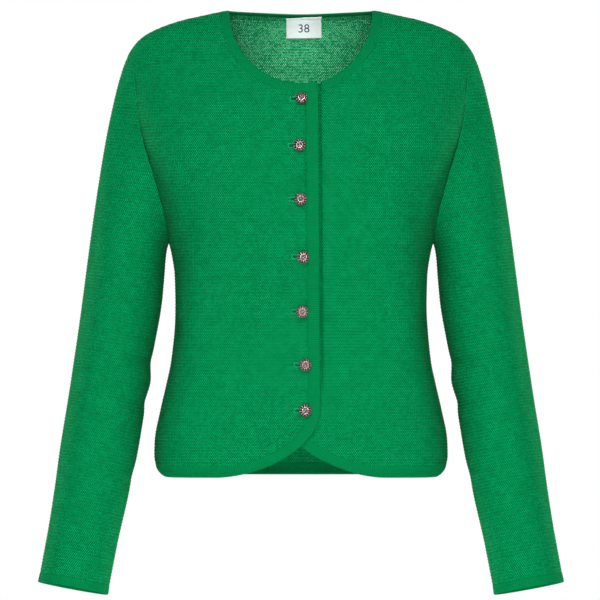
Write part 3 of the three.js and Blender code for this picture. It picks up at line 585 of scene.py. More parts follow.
def front_turns(z):
    """The angles of a front's points. The first columns follow the line of buttons, so that the
    buttonholes can be left out of them, and the next ones the groove along the placket's edge."""
    edge = -front_edge(z, BAND + SEAM_GAP)
    inner = np.where(z > -NECK_FRONT_DROP, np.maximum(neck_half_at(z), edge), edge)
    drift = np.interp(z, BUTTONS[::-1, 0], BUTTONS[::-1, 1])
    line = BUTTON_LINE - BAND - SEAM_GAP - drift
    start, end = line - HOLE_OUTER, line + HOLE_INNER
    share = np.linspace(0, 1, HOLE_COLUMNS + 1)
    hole = start[:, None] + (end - start)[:, None] * share
    groove = (2 * lap_at(z) - BAND - SEAM_GAP)[:, None] + LAP_COLUMNS
    near = turn_at(inner[:, None] + np.concatenate([0 * hole[:, :1], hole, groove], axis=1), z[:, None])
    share = np.linspace(0, 1, FRONT_COLUMNS + 1)[1:]
    rest = near[:, -1:] + (side_turn(z, False)[:, None] - near[:, -1:]) * share
    return np.concatenate([near, rest], axis=1)


def front_panel(name, side, buttoned):
    z = course_heights(HEM + BAND + SEAM_GAP)
    turn = front_turns(z)
    cloth = np.ones((len(z) - 1, turn.shape[1] - 1), bool)
    for height in BUTTONS[:, 0] if buttoned else ():
        low = int(np.argmin(np.abs((z[:-1] + z[1:]) / 2 - height))) - HOLE_ROWS // 2
        cloth[low : low + HOLE_ROWS, 1 : 1 + HOLE_COLUMNS] = False
    sink = sink_at(side, side * turn, z[:, None])
    return panel_piece(name, side * turn, z, 0, sink, cloth)


for name, side in (("front_right", -1), ("front_left", 1)):
    front = front_panel(name + "_panel", side, side < 0)
    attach(front, "root")
    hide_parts(name)

# The sleeves.
# Long set-in sleeves, one knitted panel each, with the ridges square to the arm. The panel's two
# sides are sewn to each other under the arm, and its cap is sewn into the armhole.
SLEEVE_COLUMNS = 60
CAP_END = -288 * MM
WRIST = -622.6 * MM
CAP_GAP = 0.35 * MM  # between the cap and the armhole
AXIS_STEP = 8 * MM
CAP_EASE = 1.1  # the cap's lines turn towards the arm's middle only this far from the shoulder
CAP_BLEND = 0.12  # share of the cap over which its normals turn from the body's to its own
CAP_LENGTH = 120 * MM
CAP_PULL = {"seam_top": 0.55, "seam_low": 0.62, "end_top": 0.95, "end_low": 1.05, "least": 34 * MM}

# How the cap leaves the seam, from the shoulder (0) to the underarm (1): shares of the way on in
# the body's cloth, straight out of it, and down.
CAP_LEAVE = np.array([
    (0, 1, 0.1, 0),
    (0.5, 0.3, 0.25, 0.9),
    (1, 0, 0.5, 0.8),
])

# Sections of the sleeve: height, side and depth of the middle, half width and half depth, in
# millimetres.
SLEEVE = np.array([
    (-633, 249.8, -21, 38.6, 33),
    (-581, 240.2, -15, 38.8, 37),
    (-529, 230.4, -9, 40.6, 41),
    (-476, 221.2, -4, 42.6, 44.5),
    (-423, 212.5, 0, 42.8, 47),
    (-370, 204.9, 3, 42.6, 50),
    (-317, 196.6, 4.5, 43.6, 53),
    (-288, 193.3, 4, 43.1, 54),
]) * MM

# Creases of a sleeve: angle round it in degrees (0 outside, 90 in front), share of the way from
# the armhole to the wrist, half length in degrees, half width in millimetres, lean, and height.
SLEEVE_CREASES = [
    (150, 0.3, 62, 9, 8, -1.7),
    (196, 0.36, 70, 10, -10, 1.6),
    (168, 0.43, 58, 9, 9, -1.8),
    (120, 0.52, 48, 12, 12, -1.1),
    (262, 0.4, 46, 11, -12, -1.2),
    (205, 0.66, 60, 12, 7, -1.2),
]

sleeve_x, sleeve_y, sleeve_half, sleeve_deep = (
    curve_through(SLEEVE[:, 0], SLEEVE[:, k]) for k in range(1, 5)
)
leave_onward, leave_out, leave_down = (
    curve_through(CAP_LEAVE[:, 0], CAP_LEAVE[:, k]) for k in range(1, 4)
)


def sleeve_middle(z):
    return np.stack([sleeve_x(z), sleeve_y(z), z], -1)


def sleeve_point(spin, z):
    """Points of the sleeve's tube, on rings square to the arm."""
    spin, z = np.broadcast_arrays(spin, z)
    axis = unit(sleeve_middle(z - AXIS_STEP) - sleeve_middle(z + AXIS_STEP))
    out = unit(np.array([1.0, 0, 0]) - axis * axis[..., :1])
    fore = np.cross(axis, out)
    sideways = out * (sleeve_half(z) * np.cos(spin))[..., None]
    return sleeve_middle(z) + sideways + fore * (sleeve_deep(z) * np.sin(spin))[..., None]


def armhole_point(spin):
    """A point of the armhole on the body's form and its angle. spin is 0 at the shoulder, a quarter
    turn in front and a half turn at the underarm."""
    z = ARM_MIDDLE + ARM_HALF * np.cos(spin)
    front, behind = (
        turn_at_depth(np.maximum(SEAM_GAP / 2, deep * egg_depth(np.abs(spin))), z, back)
        for deep, back in ((ARM_FRONT, False), (ARM_BACK, True))
    )
    turn = np.where(spin >= 0, front, behind)
    return form(turn, z, 0), turn, z


def cap_ends(spin):
    """Both ends of the cap's lines with their directions, and the body's normal at the seam."""
    point, turn, z = armhole_point(spin)
    normal = form_normal(turn, z)
    step = 0.02
    upper, lower = np.minimum(spin + step, math.pi), np.maximum(spin - step, -math.pi)
    onward = unit(np.cross(normal, armhole_point(upper)[0] - armhole_point(lower)[0]))
    inward = -point[..., 1] * onward[..., 1] + (ARM_MIDDLE - point[..., 2]) * onward[..., 2]
    onward = onward * np.where(inward < 0, -1, 1)[..., None]
    onward[..., 1] *= smooth(np.abs(spin), 0, CAP_EASE)
    onward = unit(onward - normal * np.sum(onward * normal, axis=-1, keepdims=True))
    low = 0.5 - 0.5 * np.cos(spin)
    leave = onward * leave_onward(low)[..., None] + normal * leave_out(low)[..., None]
    leave = unit(leave - np.array([0, 0, 1.0]) * leave_down(low)[..., None])
    start = point + onward * CAP_GAP
    end = sleeve_point(spin, CAP_END)
    arrive = unit(sleeve_point(spin, CAP_END - AXIS_STEP) - end)
    reach = np.linalg.norm(end - start, axis=-1)
    pull = CAP_PULL["seam_top"] + (CAP_PULL["seam_low"] - CAP_PULL["seam_top"]) * low
    rest = CAP_PULL["end_top"] + (CAP_PULL["end_low"] - CAP_PULL["end_top"]) * low
    leave = leave * (pull * np.maximum(reach, CAP_PULL["least"]))[..., None]
    return start, leave, end, arrive * (rest * reach)[..., None], normal


cap_spins = np.linspace(-math.pi, math.pi, 721)
cap_table = cap_ends(cap_spins)


def at_spin(column, spin):
    return np.stack([np.interp(spin, cap_spins, column[:, k]) for k in range(3)], -1)


def cap_point(t, spin):
    """Points of the cap. t runs from the seam at 0 to the sleeve's first full ring at 1."""
    return between(*(at_spin(column, spin) for column in cap_table[:4]), t[..., None])


first_middle = sleeve_middle(np.array(CAP_END))
upper_middle, lower_middle = (sleeve_middle(np.array(CAP_END + step)) for step in (AXIS_STEP, -AXIS_STEP))
sleeve_up = unit(upper_middle - lower_middle)


def cap_height(points):
    return (points - first_middle) @ sleeve_up


seam_heights = cap_height(cap_table[0])
row_step = RIDGE / ROWS_A_RIDGE


def cap_rows():
    """The spins and shares of the cap's rows of mesh, from its first full ring up to the shoulder."""
    middle = len(cap_spins) // 2
    levels = np.arange(row_step, seam_heights.max() - row_step / 2, row_step)
    front = np.interp(levels, seam_heights[: middle - 1 : -1], cap_spins[: middle - 1 : -1])
    behind = np.interp(levels, seam_heights[: middle + 1], cap_spins[: middle + 1])
    share = np.linspace(0, 1, SLEEVE_COLUMNS + 1)
    spin = behind[:, None] + (front - behind)[:, None] * share
    level = np.broadcast_to(levels[:, None], spin.shape)
    t = root_of(lambda s: level - cap_height(cap_point(s, spin)), 0 * spin, 0 * spin + 1)
    return levels, spin, t


def cap_normals(spin, t):
    step = 0.004
    ahead, behind = np.minimum(spin + step, math.pi), np.maximum(spin - step, -math.pi)
    round_way = cap_point(t, ahead) - cap_point(t, behind)
    down_way = cap_point(np.minimum(t + step, 1), spin) - cap_point(np.maximum(t - step, 0), spin)
    normal = unit(np.cross(round_way, down_way))
    share = smooth(t, 0, CAP_BLEND)[..., None]
    return unit(at_spin(cap_table[4], spin) * (1 - share) + normal * share)


def sleeve_crease_rise(spin, z):
    rise = np.zeros(spin.shape)
    for at, share, arc, broad, lean, peak in SLEEVE_CREASES:
        apart = (spin - math.radians(at) + math.pi) % (2 * math.pi) - math.pi
        slant = math.tan(math.radians(lean)) * apart * sleeve_half(z)
        off = (z - CAP_END - (WRIST - CAP_END) * share - slant) / (broad * MM)
        rise = rise + peak * MM * np.exp(-((apart / math.radians(arc)) ** 2) - off * off)
    return rise


def sleeve_grid():
    """The sleeve's points, outward normals, spins and levels, from the wrist up to the shoulder."""
    fine = np.linspace(CAP_END, WRIST, 400)
    run = np.concatenate([[0], np.cumsum(np.linalg.norm(np.diff(sleeve_middle(fine), axis=0), axis=1))])
    steps = np.concatenate([np.arange(0, run[-1] - row_step / 2, row_step), run[-1:]])[::-1]
    z = np.interp(steps, run, fine)
    share = np.linspace(-math.pi, math.pi, SLEEVE_COLUMNS + 1)
    spin = np.broadcast_to(share, (len(z), len(share)))
    height = np.broadcast_to(z[:, None], spin.shape)
    tube = sleeve_point(spin, height)
    round_way = sleeve_point(spin + 0.01, height) - sleeve_point(spin - 0.01, height)
    down_way = sleeve_point(spin, height - MM) - sleeve_point(spin, height + MM)
    levels, cap_spin, t = cap_rows()
    cap = cap_point(t, cap_spin)
    points = np.concatenate([tube, cap])
    normals = np.concatenate([unit(np.cross(round_way, down_way)), cap_normals(cap_spin, t)])
    spins = np.concatenate([spin, cap_spin])
    rise = sleeve_crease_rise(spins, points[..., 2])
    seam_distance = np.concatenate([np.full(spin.shape, 1.0), t * CAP_LENGTH])
    levels = np.concatenate([-steps, levels])
    return points + normals * rise[..., None], normals, spins, levels, seam_distance


def sleeve_piece(name, side):
    points, normals, spins, levels, seam_distance = sleeve_grid()
    ridges = np.broadcast_to((levels / RIDGE)[:, None], spins.shape)
    ends = np.minimum(seam_distance, (ridges - ridges[:1]) * RIDGE)
    relief = knit_relief(ridges, ends)[..., None]
    outer, inner = points + normals * relief, points - normals * (CLOTH + relief * INNER_RELIEF)
    both = np.concatenate([outer.reshape(-1, 3), inner.reshape(-1, 3)]) * np.array([side, 1, 1])
    steps = np.linalg.norm(np.diff(points, axis=1), axis=-1)
    reach = np.concatenate([np.zeros((len(points), 1)), np.cumsum(steps, axis=1)], axis=1)
    middle = np.array([np.interp(0, s, r) for s, r in zip(spins, reach)])[:, None]
    uv = np.stack([(reach - middle) / STITCH, ridges], -1).reshape(-1, 2)
    joined = np.abs(spins[:, -1] - spins[:, 0]) > 2 * math.pi - 1e-6
    quads, finish = wall_faces(*spins.shape, np.ones((len(spins) - 1, SLEEVE_COLUMNS), bool), joined)
    return welded(both, quads, np.concatenate([uv, uv]), finish, name, KNIT)


for name, side in (("sleeve_right", -1), ("sleeve_left", 1)):
    sleeve = sleeve_piece(name + "_panel", side)
    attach(sleeve, "root")
    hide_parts("upper_" + name, "lower_" + name)

# The edgings.
# Narrow doubled bands of fine rib, knitted on round the neck, down the fronts and round their
# corners, along the back hem and at the wrists. Their ribs run across the band.
BAND_THICK = 2.6 * MM
BAND_PROUD = 0.3 * MM
NECK_BAND = 10 * MM
CUFF_BAND = 10 * MM
RIB = 2.4 * MM  # from one rib to the next
RIB_STEPS = 4
RIB_RELIEF = 0.16 * MM

# The outline of a band cut across: share of the way from its seam to its free edge, and height
# above its middle in shares of half its thickness.
BAND_SECTION = np.array([
    (-0.04, 0.55),
    (0.06, 0.92),
    (0.2, 1.0),
    (0.45, 0.96),
    (0.7, 1.0),
    (0.88, 0.92),
    (0.97, 0.6),
    (1.0, 0.0),
    (0.97, -0.6),
    (0.88, -0.92),
    (0.6, -1.0),
    (0.3, -1.0),
    (0.06, -0.92),
    (-0.04, -0.55),
])


def ribbed_edging():
    material, tree, shader, place = new_material("wool_fine_rib", 0.92)
    rib, course, _ = knit_place(tree)
    height = maths(tree, "MULTIPLY_ADD", waves(tree, course), 0.15, 0.5)
    height = maths(tree, "MULTIPLY_ADD", waves(tree, rib), 0.35, height)
    fuzz = noise(tree, place, 1800.0, 3.0)
    streaks = noise(tree, place, 120.0, 2.0)
    tone = swayed(tree, swayed(tree, height, fuzz, 0.5), streaks, 0.5)
    share = node(tree, "ShaderNodeClamp", Value=tone)
    # Painted shade: the colour is darker in the furrows between the ribs and courses, and varies at random
    # with the fuzz and streaks.
    colour = blended(tree, share, (0.0004, 0.105, 0.03), (0.0006, 0.155, 0.045))
    painted(tree, shader, colour, maths(tree, "MULTIPLY_ADD", fuzz, 0.4, height), 0.5, 0.35 * MM)
    woollen(shader, 0.05, 0.2)
    return material


edging = ribbed_edging()


def loft(name, sections, arc, width, closed):
    """A band from its cross sections, one after the other. arc is each one's place along it."""
    count, points_round = sections.shape[:2]
    place = np.arange(count * points_round).reshape(count, points_round)
    ahead = np.roll(place, -1, axis=0) if closed else place[1:]
    here = place if closed else place[:-1]
    quads = [np.stack([here, np.roll(here, -1, 1), np.roll(ahead, -1, 1), ahead], -1).reshape(-1, 4)]
    if not closed:
        for end, order in ((place[0], 1), (place[-1], -1)):
            half = points_round // 2
            cap = [(end[i], end[-1 - i], end[-2 - i], end[i + 1]) for i in range(half - 1)]
            quads.append(np.array(cap)[:, ::order])
    share = np.broadcast_to(BAND_SECTION[:, 0] * width, (count, points_round))
    uv = np.stack([np.broadcast_to((arc / RIB)[:, None], share.shape), share / STITCH], -1)
    quads = np.concatenate(quads)
    points = sections.reshape(-1, 3)
    return mesh_piece(name, points, quads, uv.reshape(-1, 2), np.zeros(len(quads)), [edging])


def evenly(track, line):
    """Resamples the columns of a track at even steps of rib along a line of points."""
    run = np.concatenate([[0], np.cumsum(np.linalg.norm(np.diff(line, axis=0), axis=1))])
    ribs = max(1, round(run[-1] / RIB))
    steps = np.linspace(0, run[-1], ribs * RIB_STEPS + 1)
    return np.stack([np.interp(steps, run, column) for column in track.T], -1), steps


def band_height(level, wave):
    """How far a band's section stands off the form. Its outer side is ribbed."""
    rib = RIB_RELIEF * wave * np.maximum(0, level)
    return BAND_PROUD - BAND_THICK / 2 + level * (BAND_THICK / 2 - RIB_RELIEF) + rib


def strip_piece(name, track, side, width):
    """A band on the body's form. The track gives the angle and height of its seam and of its edge."""
    middle_turn, middle_z = (track[:, 0] + track[:, 2]) / 2, (track[:, 1] + track[:, 3]) / 2
    track, arc = evenly(track, bare_form(middle_turn, middle_z))
    share, level = BAND_SECTION[None, :, 0], BAND_SECTION[None, :, 1]
    turn = track[:, :1] + (track[:, 2:3] - track[:, :1]) * share
    z = track[:, 1:2] + (track[:, 3:4] - track[:, 1:2]) * share
    off = band_height(level, np.cos(2 * math.pi * arc / RIB)[:, None])
    sections = form(turn, z, off - sink_at(side, turn, z))
    return loft(name, sections, arc, width, False), track


def neck_clearance(x):
    return SEAM_GAP + NECK_FRONT_DROP * (np.sqrt(1 - (x / NECK_HALF) ** 2) - 1)


def seam_and_edge(side, root_x, root_z, edge_x, edge_z):
    """The angles and heights of a front band's seam and free edge, on one side of the body."""
    return np.stack([side * turn_at(root_x, root_z), root_z, side * turn_at(edge_x, edge_z), edge_z], -1)


def front_band_track(side):
    """Down the front edge, round the corner and along the hem to the side seam."""
    z = np.linspace(-NECK_FRONT_DROP, CORNER_TOP, 60)[:-1]
    lap = lap_at(z)
    top = z == z[0]
    root_z, edge_z = z - top * neck_clearance(lap - BAND), z - top * neck_clearance(lap)
    straight = seam_and_edge(-side, lap - BAND, root_z, lap, edge_z)
    spin = np.radians(np.linspace(0, 90, 61))
    corner = seam_and_edge(-side, *corner_point(spin, BAND), *corner_point(spin, 0))
    share = np.linspace(0, 1, 31)[1:, None]
    root_z, edge_z = np.array(HEM + BAND), np.array(HEM)
    stop = np.array([side * side_turn(root_z, False), root_z, side * side_turn(edge_z, False), edge_z])
    return np.concatenate([straight, corner, corner[-1] + (stop - corner[-1]) * share])


band_tracks = {}
for name, side in (("front_band_right", -1), ("front_band_left", 1)):
    band, band_tracks[name] = strip_piece(name + "_rib", front_band_track(side), side, BAND)
    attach(band, "root")
    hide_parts(name)

hem_root, hem_edge = np.array(HEM + BAND), np.array(HEM)
hem_share = np.linspace(-1, 1, 121)
hem_track = np.stack([
    math.pi + hem_share * (math.pi - side_turn(hem_root, True)),
    np.full(len(hem_share), hem_root),
    math.pi + hem_share * (math.pi - side_turn(hem_edge, True)),
    np.full(len(hem_share), hem_edge),
], -1)
hem_band, band_tracks["back_hem_band"] = strip_piece("back_hem_band_rib", hem_track, -1, BAND)
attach(hem_band, "root")
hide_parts("back_hem_band")


def neck_place(spin, share):
    """A point of the front neckline. share is 0 at the panels' edge and 1 at the free edge."""
    drop = NECK_FRONT_DROP + (NECK_BAND_RISE - NECK_BAND) * share
    half = NECK_HALF + (wide_at(np.array(NECK_BAND_RISE)) - NECK_HALF) * share
    return half * np.sin(spin), NECK_BAND_RISE * share - drop * np.cos(spin)


def neck_band_sections():
    """From the right front's edge round the back of the neck to the left front's edge."""
    lap = math.asin(LAP_TOP / NECK_HALF)
    share, level = BAND_SECTION[None, :, 0], BAND_SECTION[None, :, 1]

    def front(spins, sunk):
        x, z = neck_place(spins[:, None], share)
        turn = turn_at(x, z)
        return turn, z, sunk * sink_at(1, turn, z)

    right = front(np.linspace(lap, -math.pi / 2, 160), 0)
    left = front(np.linspace(math.pi / 2, -lap, 160), 1)
    turn = np.linspace(1.5 * math.pi, 0.5 * math.pi, 162)[1:-1, None] + 0 * share
    behind = (turn, NECK_BAND_RISE * share + 0 * turn, 0 * turn)
    turn, z, sink = (np.concatenate([a, b, c]) for a, b, c in zip(right, behind, left))
    line = bare_form(turn[:, 7], z[:, 7])
    wrapped = np.unwrap(turn, axis=0)
    track, arc = evenly(np.concatenate([wrapped, z, sink], axis=1), line)
    turn, z, sink = np.split(track, 3, axis=1)
    return form(turn, z, band_height(level, np.cos(2 * math.pi * arc / RIB)[:, None]) - sink), arc


neck_sections, neck_arc = neck_band_sections()
neck_band = loft("neck_band_rib", neck_sections, neck_arc, NECK_BAND, False)
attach(neck_band, "root")
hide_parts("neck_band")


CUFF_FLARE = 0.5 * MM  # the cuff's edge stands this much wider than its seam
CUFF_RIBS = 96


def cuff_piece(name, side):
    spin = np.linspace(0, 2 * math.pi, CUFF_RIBS * RIB_STEPS, endpoint=False)[:, None]
    share, level = BAND_SECTION[None, :, 0], BAND_SECTION[None, :, 1]
    z = WRIST - SEAM_GAP - CUFF_BAND * share
    point = sleeve_point(spin, z)
    out = unit(point - sleeve_middle(z + 0 * spin))
    off = band_height(level, np.cos(CUFF_RIBS * spin)) + CUFF_FLARE * share**2
    sections = (point + out * off[..., None]) * np.array([side, 1, 1])
    arc = np.arange(len(spin)) / RIB_STEPS * RIB
    return loft(name, sections, arc, CUFF_BAND, True)


for name, side in (("cuff_right", -1), ("cuff_left", 1)):
    cuff = cuff_piece(name + "_rib", side)
    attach(cuff, "root")
    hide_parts(name)

# The label.
# A woven satin label inside the back neck, sewn on at its upper edge. It carries only a size.
LABEL_WIDTH = 40 * MM
LABEL_LENGTH = 24 * MM
LABEL_MIDDLE = 3.5 * MM
LABEL_TOP = 0.9 * MM
LABEL_TILT = 0.03
LABEL_SEAT = 1 * MM
LABEL_THICK = 0.6 * MM
LABEL_CURL = 0.5 * MM
LABEL_SIZE = "38"


def label_places(x, down):
    """Angle and height on the form of a point x across and down from the label's upper edge."""
    z = LABEL_TOP - down + LABEL_TILT * np.minimum(0, x)
    return math.pi - turn_at(x + LABEL_MIDDLE, LABEL_TOP - down), z


def woven_label():
    material, tree, shader, place = new_material("label_satin", 0.5)
    level = {"bands_direction": "Z"}
    weave = node(tree, "ShaderNodeTexWave", level, Vector=place, Scale=700.0, Distortion=1.0).outputs["Fac"]
    cloud = noise(tree, place, 180.0)
    share = maths(tree, "MULTIPLY_ADD", weave, 0.4, maths(tree, "MULTIPLY", cloud, 0.5))
    colour = blended(tree, share, (0.67, 0.74, 0.73), (0.82, 0.89, 0.88))
    painted(tree, shader, colour, weave, 0.3, 0.1 * MM)
    shader.inputs["Sheen Weight"].default_value = 0.2
    return material


label_satin = woven_label()
label_x = np.linspace(-0.5, 0.5, 41)[None, :] * LABEL_WIDTH
label_down = np.linspace(1, 0, 25)[:, None] * LABEL_LENGTH
label_x, label_down = np.broadcast_arrays(label_x, label_down)
label_turn, label_z = label_places(label_x, label_down)
label_curl = LABEL_CURL * np.cos(label_x / LABEL_WIDTH * 2 * math.pi) * label_down / LABEL_LENGTH
label_off = -CLOTH - LABEL_SEAT - label_curl
label_outer = form(label_turn, label_z, label_off)
label_inner = form(label_turn, label_z, label_off - LABEL_THICK)
label_points = np.concatenate([label_outer.reshape(-1, 3), label_inner.reshape(-1, 3)])
label_uv = np.stack([label_x, label_down], -1).reshape(-1, 2)
label_uv = np.concatenate([label_uv, label_uv])
label_rows, label_columns = label_x.shape
label_whole = np.ones((label_rows - 1, label_columns - 1), bool)
label_quads, label_finish = wall_faces(label_rows, label_columns, label_whole, np.zeros(label_rows, bool))
label = mesh_piece("neck_label", label_points, label_quads, label_uv, 0 * label_finish, [label_satin])
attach(label, "root")
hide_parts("label")


def thread(name, colour, roughness=0.8):
    material, tree, shader, place = new_material(name, roughness)
    twist = noise(tree, place, 2400.0, 2.0)
    dark = tuple(0.6 * c for c in colour)
    painted(tree, shader, blended(tree, twist, dark, colour), twist, 0.4, 0.1 * MM)
    shader.inputs["Specular IOR Level"].default_value = 0.02
    return material


def size_mark():
    """The woven size: plain figures, laid on the label's inner face."""
    text = bpy.data.curves.new("size_text", "FONT")
    text.body = LABEL_SIZE
    text.size = 14 * MM
    text.align_x = "CENTER"
    text.align_y = "CENTER"
    text.resolution_u = 4
    flat = placed("size_text", text)
    mesh = bpy.data.meshes.new_from_object(flat.evaluated_get(bpy.context.evaluated_depsgraph_get()))
    bpy.data.objects.remove(flat)
    spots = np.array([v.co for v in mesh.vertices])
    triangles = [list(p.vertices) for p in mesh.polygons]
    bpy.data.meshes.remove(mesh)
    middle = (spots.max(0) + spots.min(0)) / 2
    turn, z = label_places(spots[:, 0] - middle[0], LABEL_LENGTH / 2 - spots[:, 1] + middle[1])
    curl = LABEL_CURL * np.cos((spots[:, 0] - middle[0]) / LABEL_WIDTH * 2 * math.pi) / 2
    base = -CLOTH - LABEL_SEAT - curl - LABEL_THICK
    seat, face = form(turn, z, base + 0.05 * MM), form(turn, z, base - 0.18 * MM)
    made = bpy.data.meshes.new("label_size")
    count = len(spots)
    edges = {}
    for corners in triangles:
        for a, b in zip(corners, corners[1:] + corners[:1]):
            edges[(a, b)] = edges.get((a, b), 0) + 1
    rim = [e for e in edges if (e[1], e[0]) not in edges]
    faces = [[i + count for i in t] for t in triangles] + [t[::-1] for t in triangles]
    faces += [[a, b, b + count, a + count] for a, b in rim]
    made.from_pydata(np.concatenate([seat, face]).tolist(), [], faces)
    return placed("label_size", made)


mark = size_mark()
mark.data.materials.append(thread("size_thread", (0.05, 0.11, 0.13)))
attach(mark, "root")

# The sewing.
# The panels are linked together with loops of the same wool, which show in the grooves of the
# seams. The buttonholes are worked round with a closer, lighter thread, and the label is sewn on.


def node_group(name, numbers):
    """A tree of Geometry Nodes with its own numbers, and the outputs of its input node."""
    tree = bpy.data.node_groups.new(name, "GeometryNodeTree")
    new_socket = tree.interface.new_socket
    new_socket(name="Geometry", in_out="INPUT", socket_type="NodeSocketGeometry")
    for key, value in numbers.items():
        kind = "NodeSocketInt" if isinstance(value, int) else "NodeSocketFloat"
        new_socket(name=key, in_out="INPUT", socket_type=kind).default_value = value
    new_socket(name="Geometry", in_out="OUTPUT", socket_type="NodeSocketGeometry")
    return tree, node(tree, "NodeGroupInput").outputs


def turned_to(tree, way, settings, **inputs):
    return node(tree, "FunctionNodeAlignRotationToVector", settings, Vector=way, **inputs)


def repeated(tree, points, kind, turn, size):
    """A bead at each point of a mesh or curve. size has its three measures."""
    scale = node(tree, "ShaderNodeCombineXYZ", X=size[0], Y=size[1], Z=size[2])
    inputs = {"Points": points, "Instance": kind, "Rotation": turn, "Scale": scale}
    return node(tree, "GeometryNodeInstanceOnPoints", **inputs)


def stitch_tree(material):
    """Lays stitches along paths, each turned across its path and out of the cloth."""
    sizes = {"Spacing": 1.7 * MM, "Length": 1.8 * MM, "Width": 0.9 * MM, "Height": 0.7 * MM}
    tree, given = node_group("stitches", sizes)
    path = node(tree, "GeometryNodeMeshToCurve", Mesh=given["Geometry"])
    spaced = {"mode": "LENGTH"}
    even = node(tree, "GeometryNodeResampleCurve", spaced, Curve=path, Length=given["Spacing"])
    bead = node(tree, "GeometryNodeMeshUVSphere", Segments=6, Rings=4, Radius=0.5)
    across_way, out_way = (
        node(tree, "GeometryNodeInputNamedAttribute", {"data_type": "FLOAT_VECTOR"}, Name=name)
        for name in ("across", "out")
    )
    lie = turned_to(tree, across_way, {"axis": "X"})
    stand = turned_to(tree, out_way, {"axis": "Z", "pivot_axis": "X"}, Rotation=lie)
    laid = repeated(tree, even, bead, stand, [given[key] for key in ("Length", "Width", "Height")])
    real = node(tree, "GeometryNodeRealizeInstances", Geometry=laid)
    soft = node(tree, "GeometryNodeSetShadeSmooth", Geometry=real)
    finish = node(tree, "GeometryNodeSetMaterial", Geometry=soft, Material=material)
    node(tree, "NodeGroupOutput", Geometry=finish)
    return tree


def made_plain(name, source, tree, **inputs):
    """Runs a tree of Geometry Nodes on an object and keeps its result as a plain mesh."""
    nodes = source.modifiers.new("made", "NODES")
    nodes.node_group = tree
    for item in tree.interface.items_tree:
        if item.in_out == "INPUT" and item.name in inputs:
            nodes[item.identifier] = inputs[item.name]
    evaluated = source.evaluated_get(bpy.context.evaluated_depsgraph_get())
    mesh = bpy.data.meshes.new_from_object(evaluated)
    mesh.name = name
    bpy.data.objects.remove(source)
    return placed(name, mesh)


def sewn(name, paths, tree, **inputs):
    """Stitches along paths, each a triple of points, ways across and ways out, and whether it closes."""
    edges, first = [], 0
    for line, _, _, closed in paths:
        edges += [(first + i, first + i + 1) for i in range(len(line) - 1)]
        edges += [(first + len(line) - 1, first)] if closed else []
        first += len(line)
    points, ways, outs, _ = zip(*paths)
    mesh = bpy.data.meshes.new(name + "_path")
    mesh.from_pydata(np.concatenate(points).tolist(), edges, [])
    for key, values in (("across", ways), ("out", outs)):
        attribute = mesh.attributes.new(key, "FLOAT_VECTOR", "POINT")
        attribute.data.foreach_set("vector", np.concatenate(values).astype(np.float32).ravel())
    return made_plain(name, placed(name + "_path", mesh), tree, **inputs)


def seam_path(points, normals):
    """A path along a seam, with its stitches lying across it."""
    run = np.gradient(points, axis=0)
    return points, unit(np.cross(normals, run)), normals, False


SEAM_DEPTH = 0.55 * MM  # the seams' loops lie this far below the cloth's face
BAND_SEAM_DEPTH = 0.2 * MM
NECK_SEAM = 0.02  # share of the neck edging's width at which its loops lie
seam_tree = stitch_tree(thread("seam_wool", (0.0006, 0.11, 0.032), 0.95))
band_seam_tree = stitch_tree(thread("band_seam_wool", (0.0006, 0.2, 0.058), 0.95))


def form_path(turn, z, off):
    turn, z = np.broadcast_arrays(turn, z)
    return seam_path(form(turn, z, off), form_normal(turn, z))


def both_sides(path):
    """The same path on the wearer's left and right."""
    flip = np.array([-1, 1, 1])
    return [path, (path[0] * flip, path[1] * flip, path[2] * flip, path[3])]


shoulder_z = np.linspace(ARM_TOP, 0, 60)
side_z = np.linspace(HEM + BAND, ARM_BOTTOM, 120)
body_seams = both_sides(form_path(math.pi / 2, shoulder_z, -SEAM_DEPTH))
body_seams += both_sides(form_path(math.pi / 2, side_z, -SEAM_DEPTH))
arm_spins = np.linspace(-math.pi + 0.02, math.pi - 0.02, 400)
arm_points, arm_turns, arm_z = armhole_point(arm_spins)
arm_normals = form_normal(arm_turns, arm_z)
body_seams += both_sides(seam_path(arm_points - arm_normals * SEAM_DEPTH, arm_normals))
body_sewing = sewn("seam_loops", body_seams, seam_tree)
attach(body_sewing, "root")

band_seams = []
for name, side in (("front_band_right", -1), ("front_band_left", 1), ("back_hem_band", -1)):
    track = band_tracks[name]
    sink = sink_at(side, track[:, 0], track[:, 1])
    band_seams.append(form_path(track[:, 0], track[:, 1], -BAND_SEAM_DEPTH - sink))
neck_spins = np.linspace(math.asin(LAP_TOP / NECK_HALF), -math.pi / 2, 120)
for side in (-1, 1):
    neck_x, neck_z = neck_place(-side * neck_spins, NECK_SEAM)
    neck_turn = turn_at(neck_x, neck_z)
    sink = sink_at(side, neck_turn, neck_z)
    band_seams.append(form_path(neck_turn, neck_z, -BAND_SEAM_DEPTH - sink))
neck_turn = np.linspace(1.5 * math.pi, 0.5 * math.pi, 120)
band_seams.append(form_path(neck_turn, NECK_SEAM * NECK_BAND_RISE, -SEAM_DEPTH))
cuff_spins = np.linspace(0, 2 * math.pi, 121)
cuff_line = sleeve_point(cuff_spins, WRIST - SEAM_GAP / 2)
cuff_out = unit(cuff_line - sleeve_middle(np.full(len(cuff_spins), WRIST)))
band_seams += both_sides(seam_path(cuff_line - cuff_out * SEAM_DEPTH, cuff_out))
band_sewing = sewn("edging_loops", band_seams, band_seam_tree)
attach(band_sewing, "root")

HOLE_STITCH = 1.9 * MM
HOLE_HALF_HEIGHT = 1.35 * MM
HOLE_PROUD = 0.25 * MM


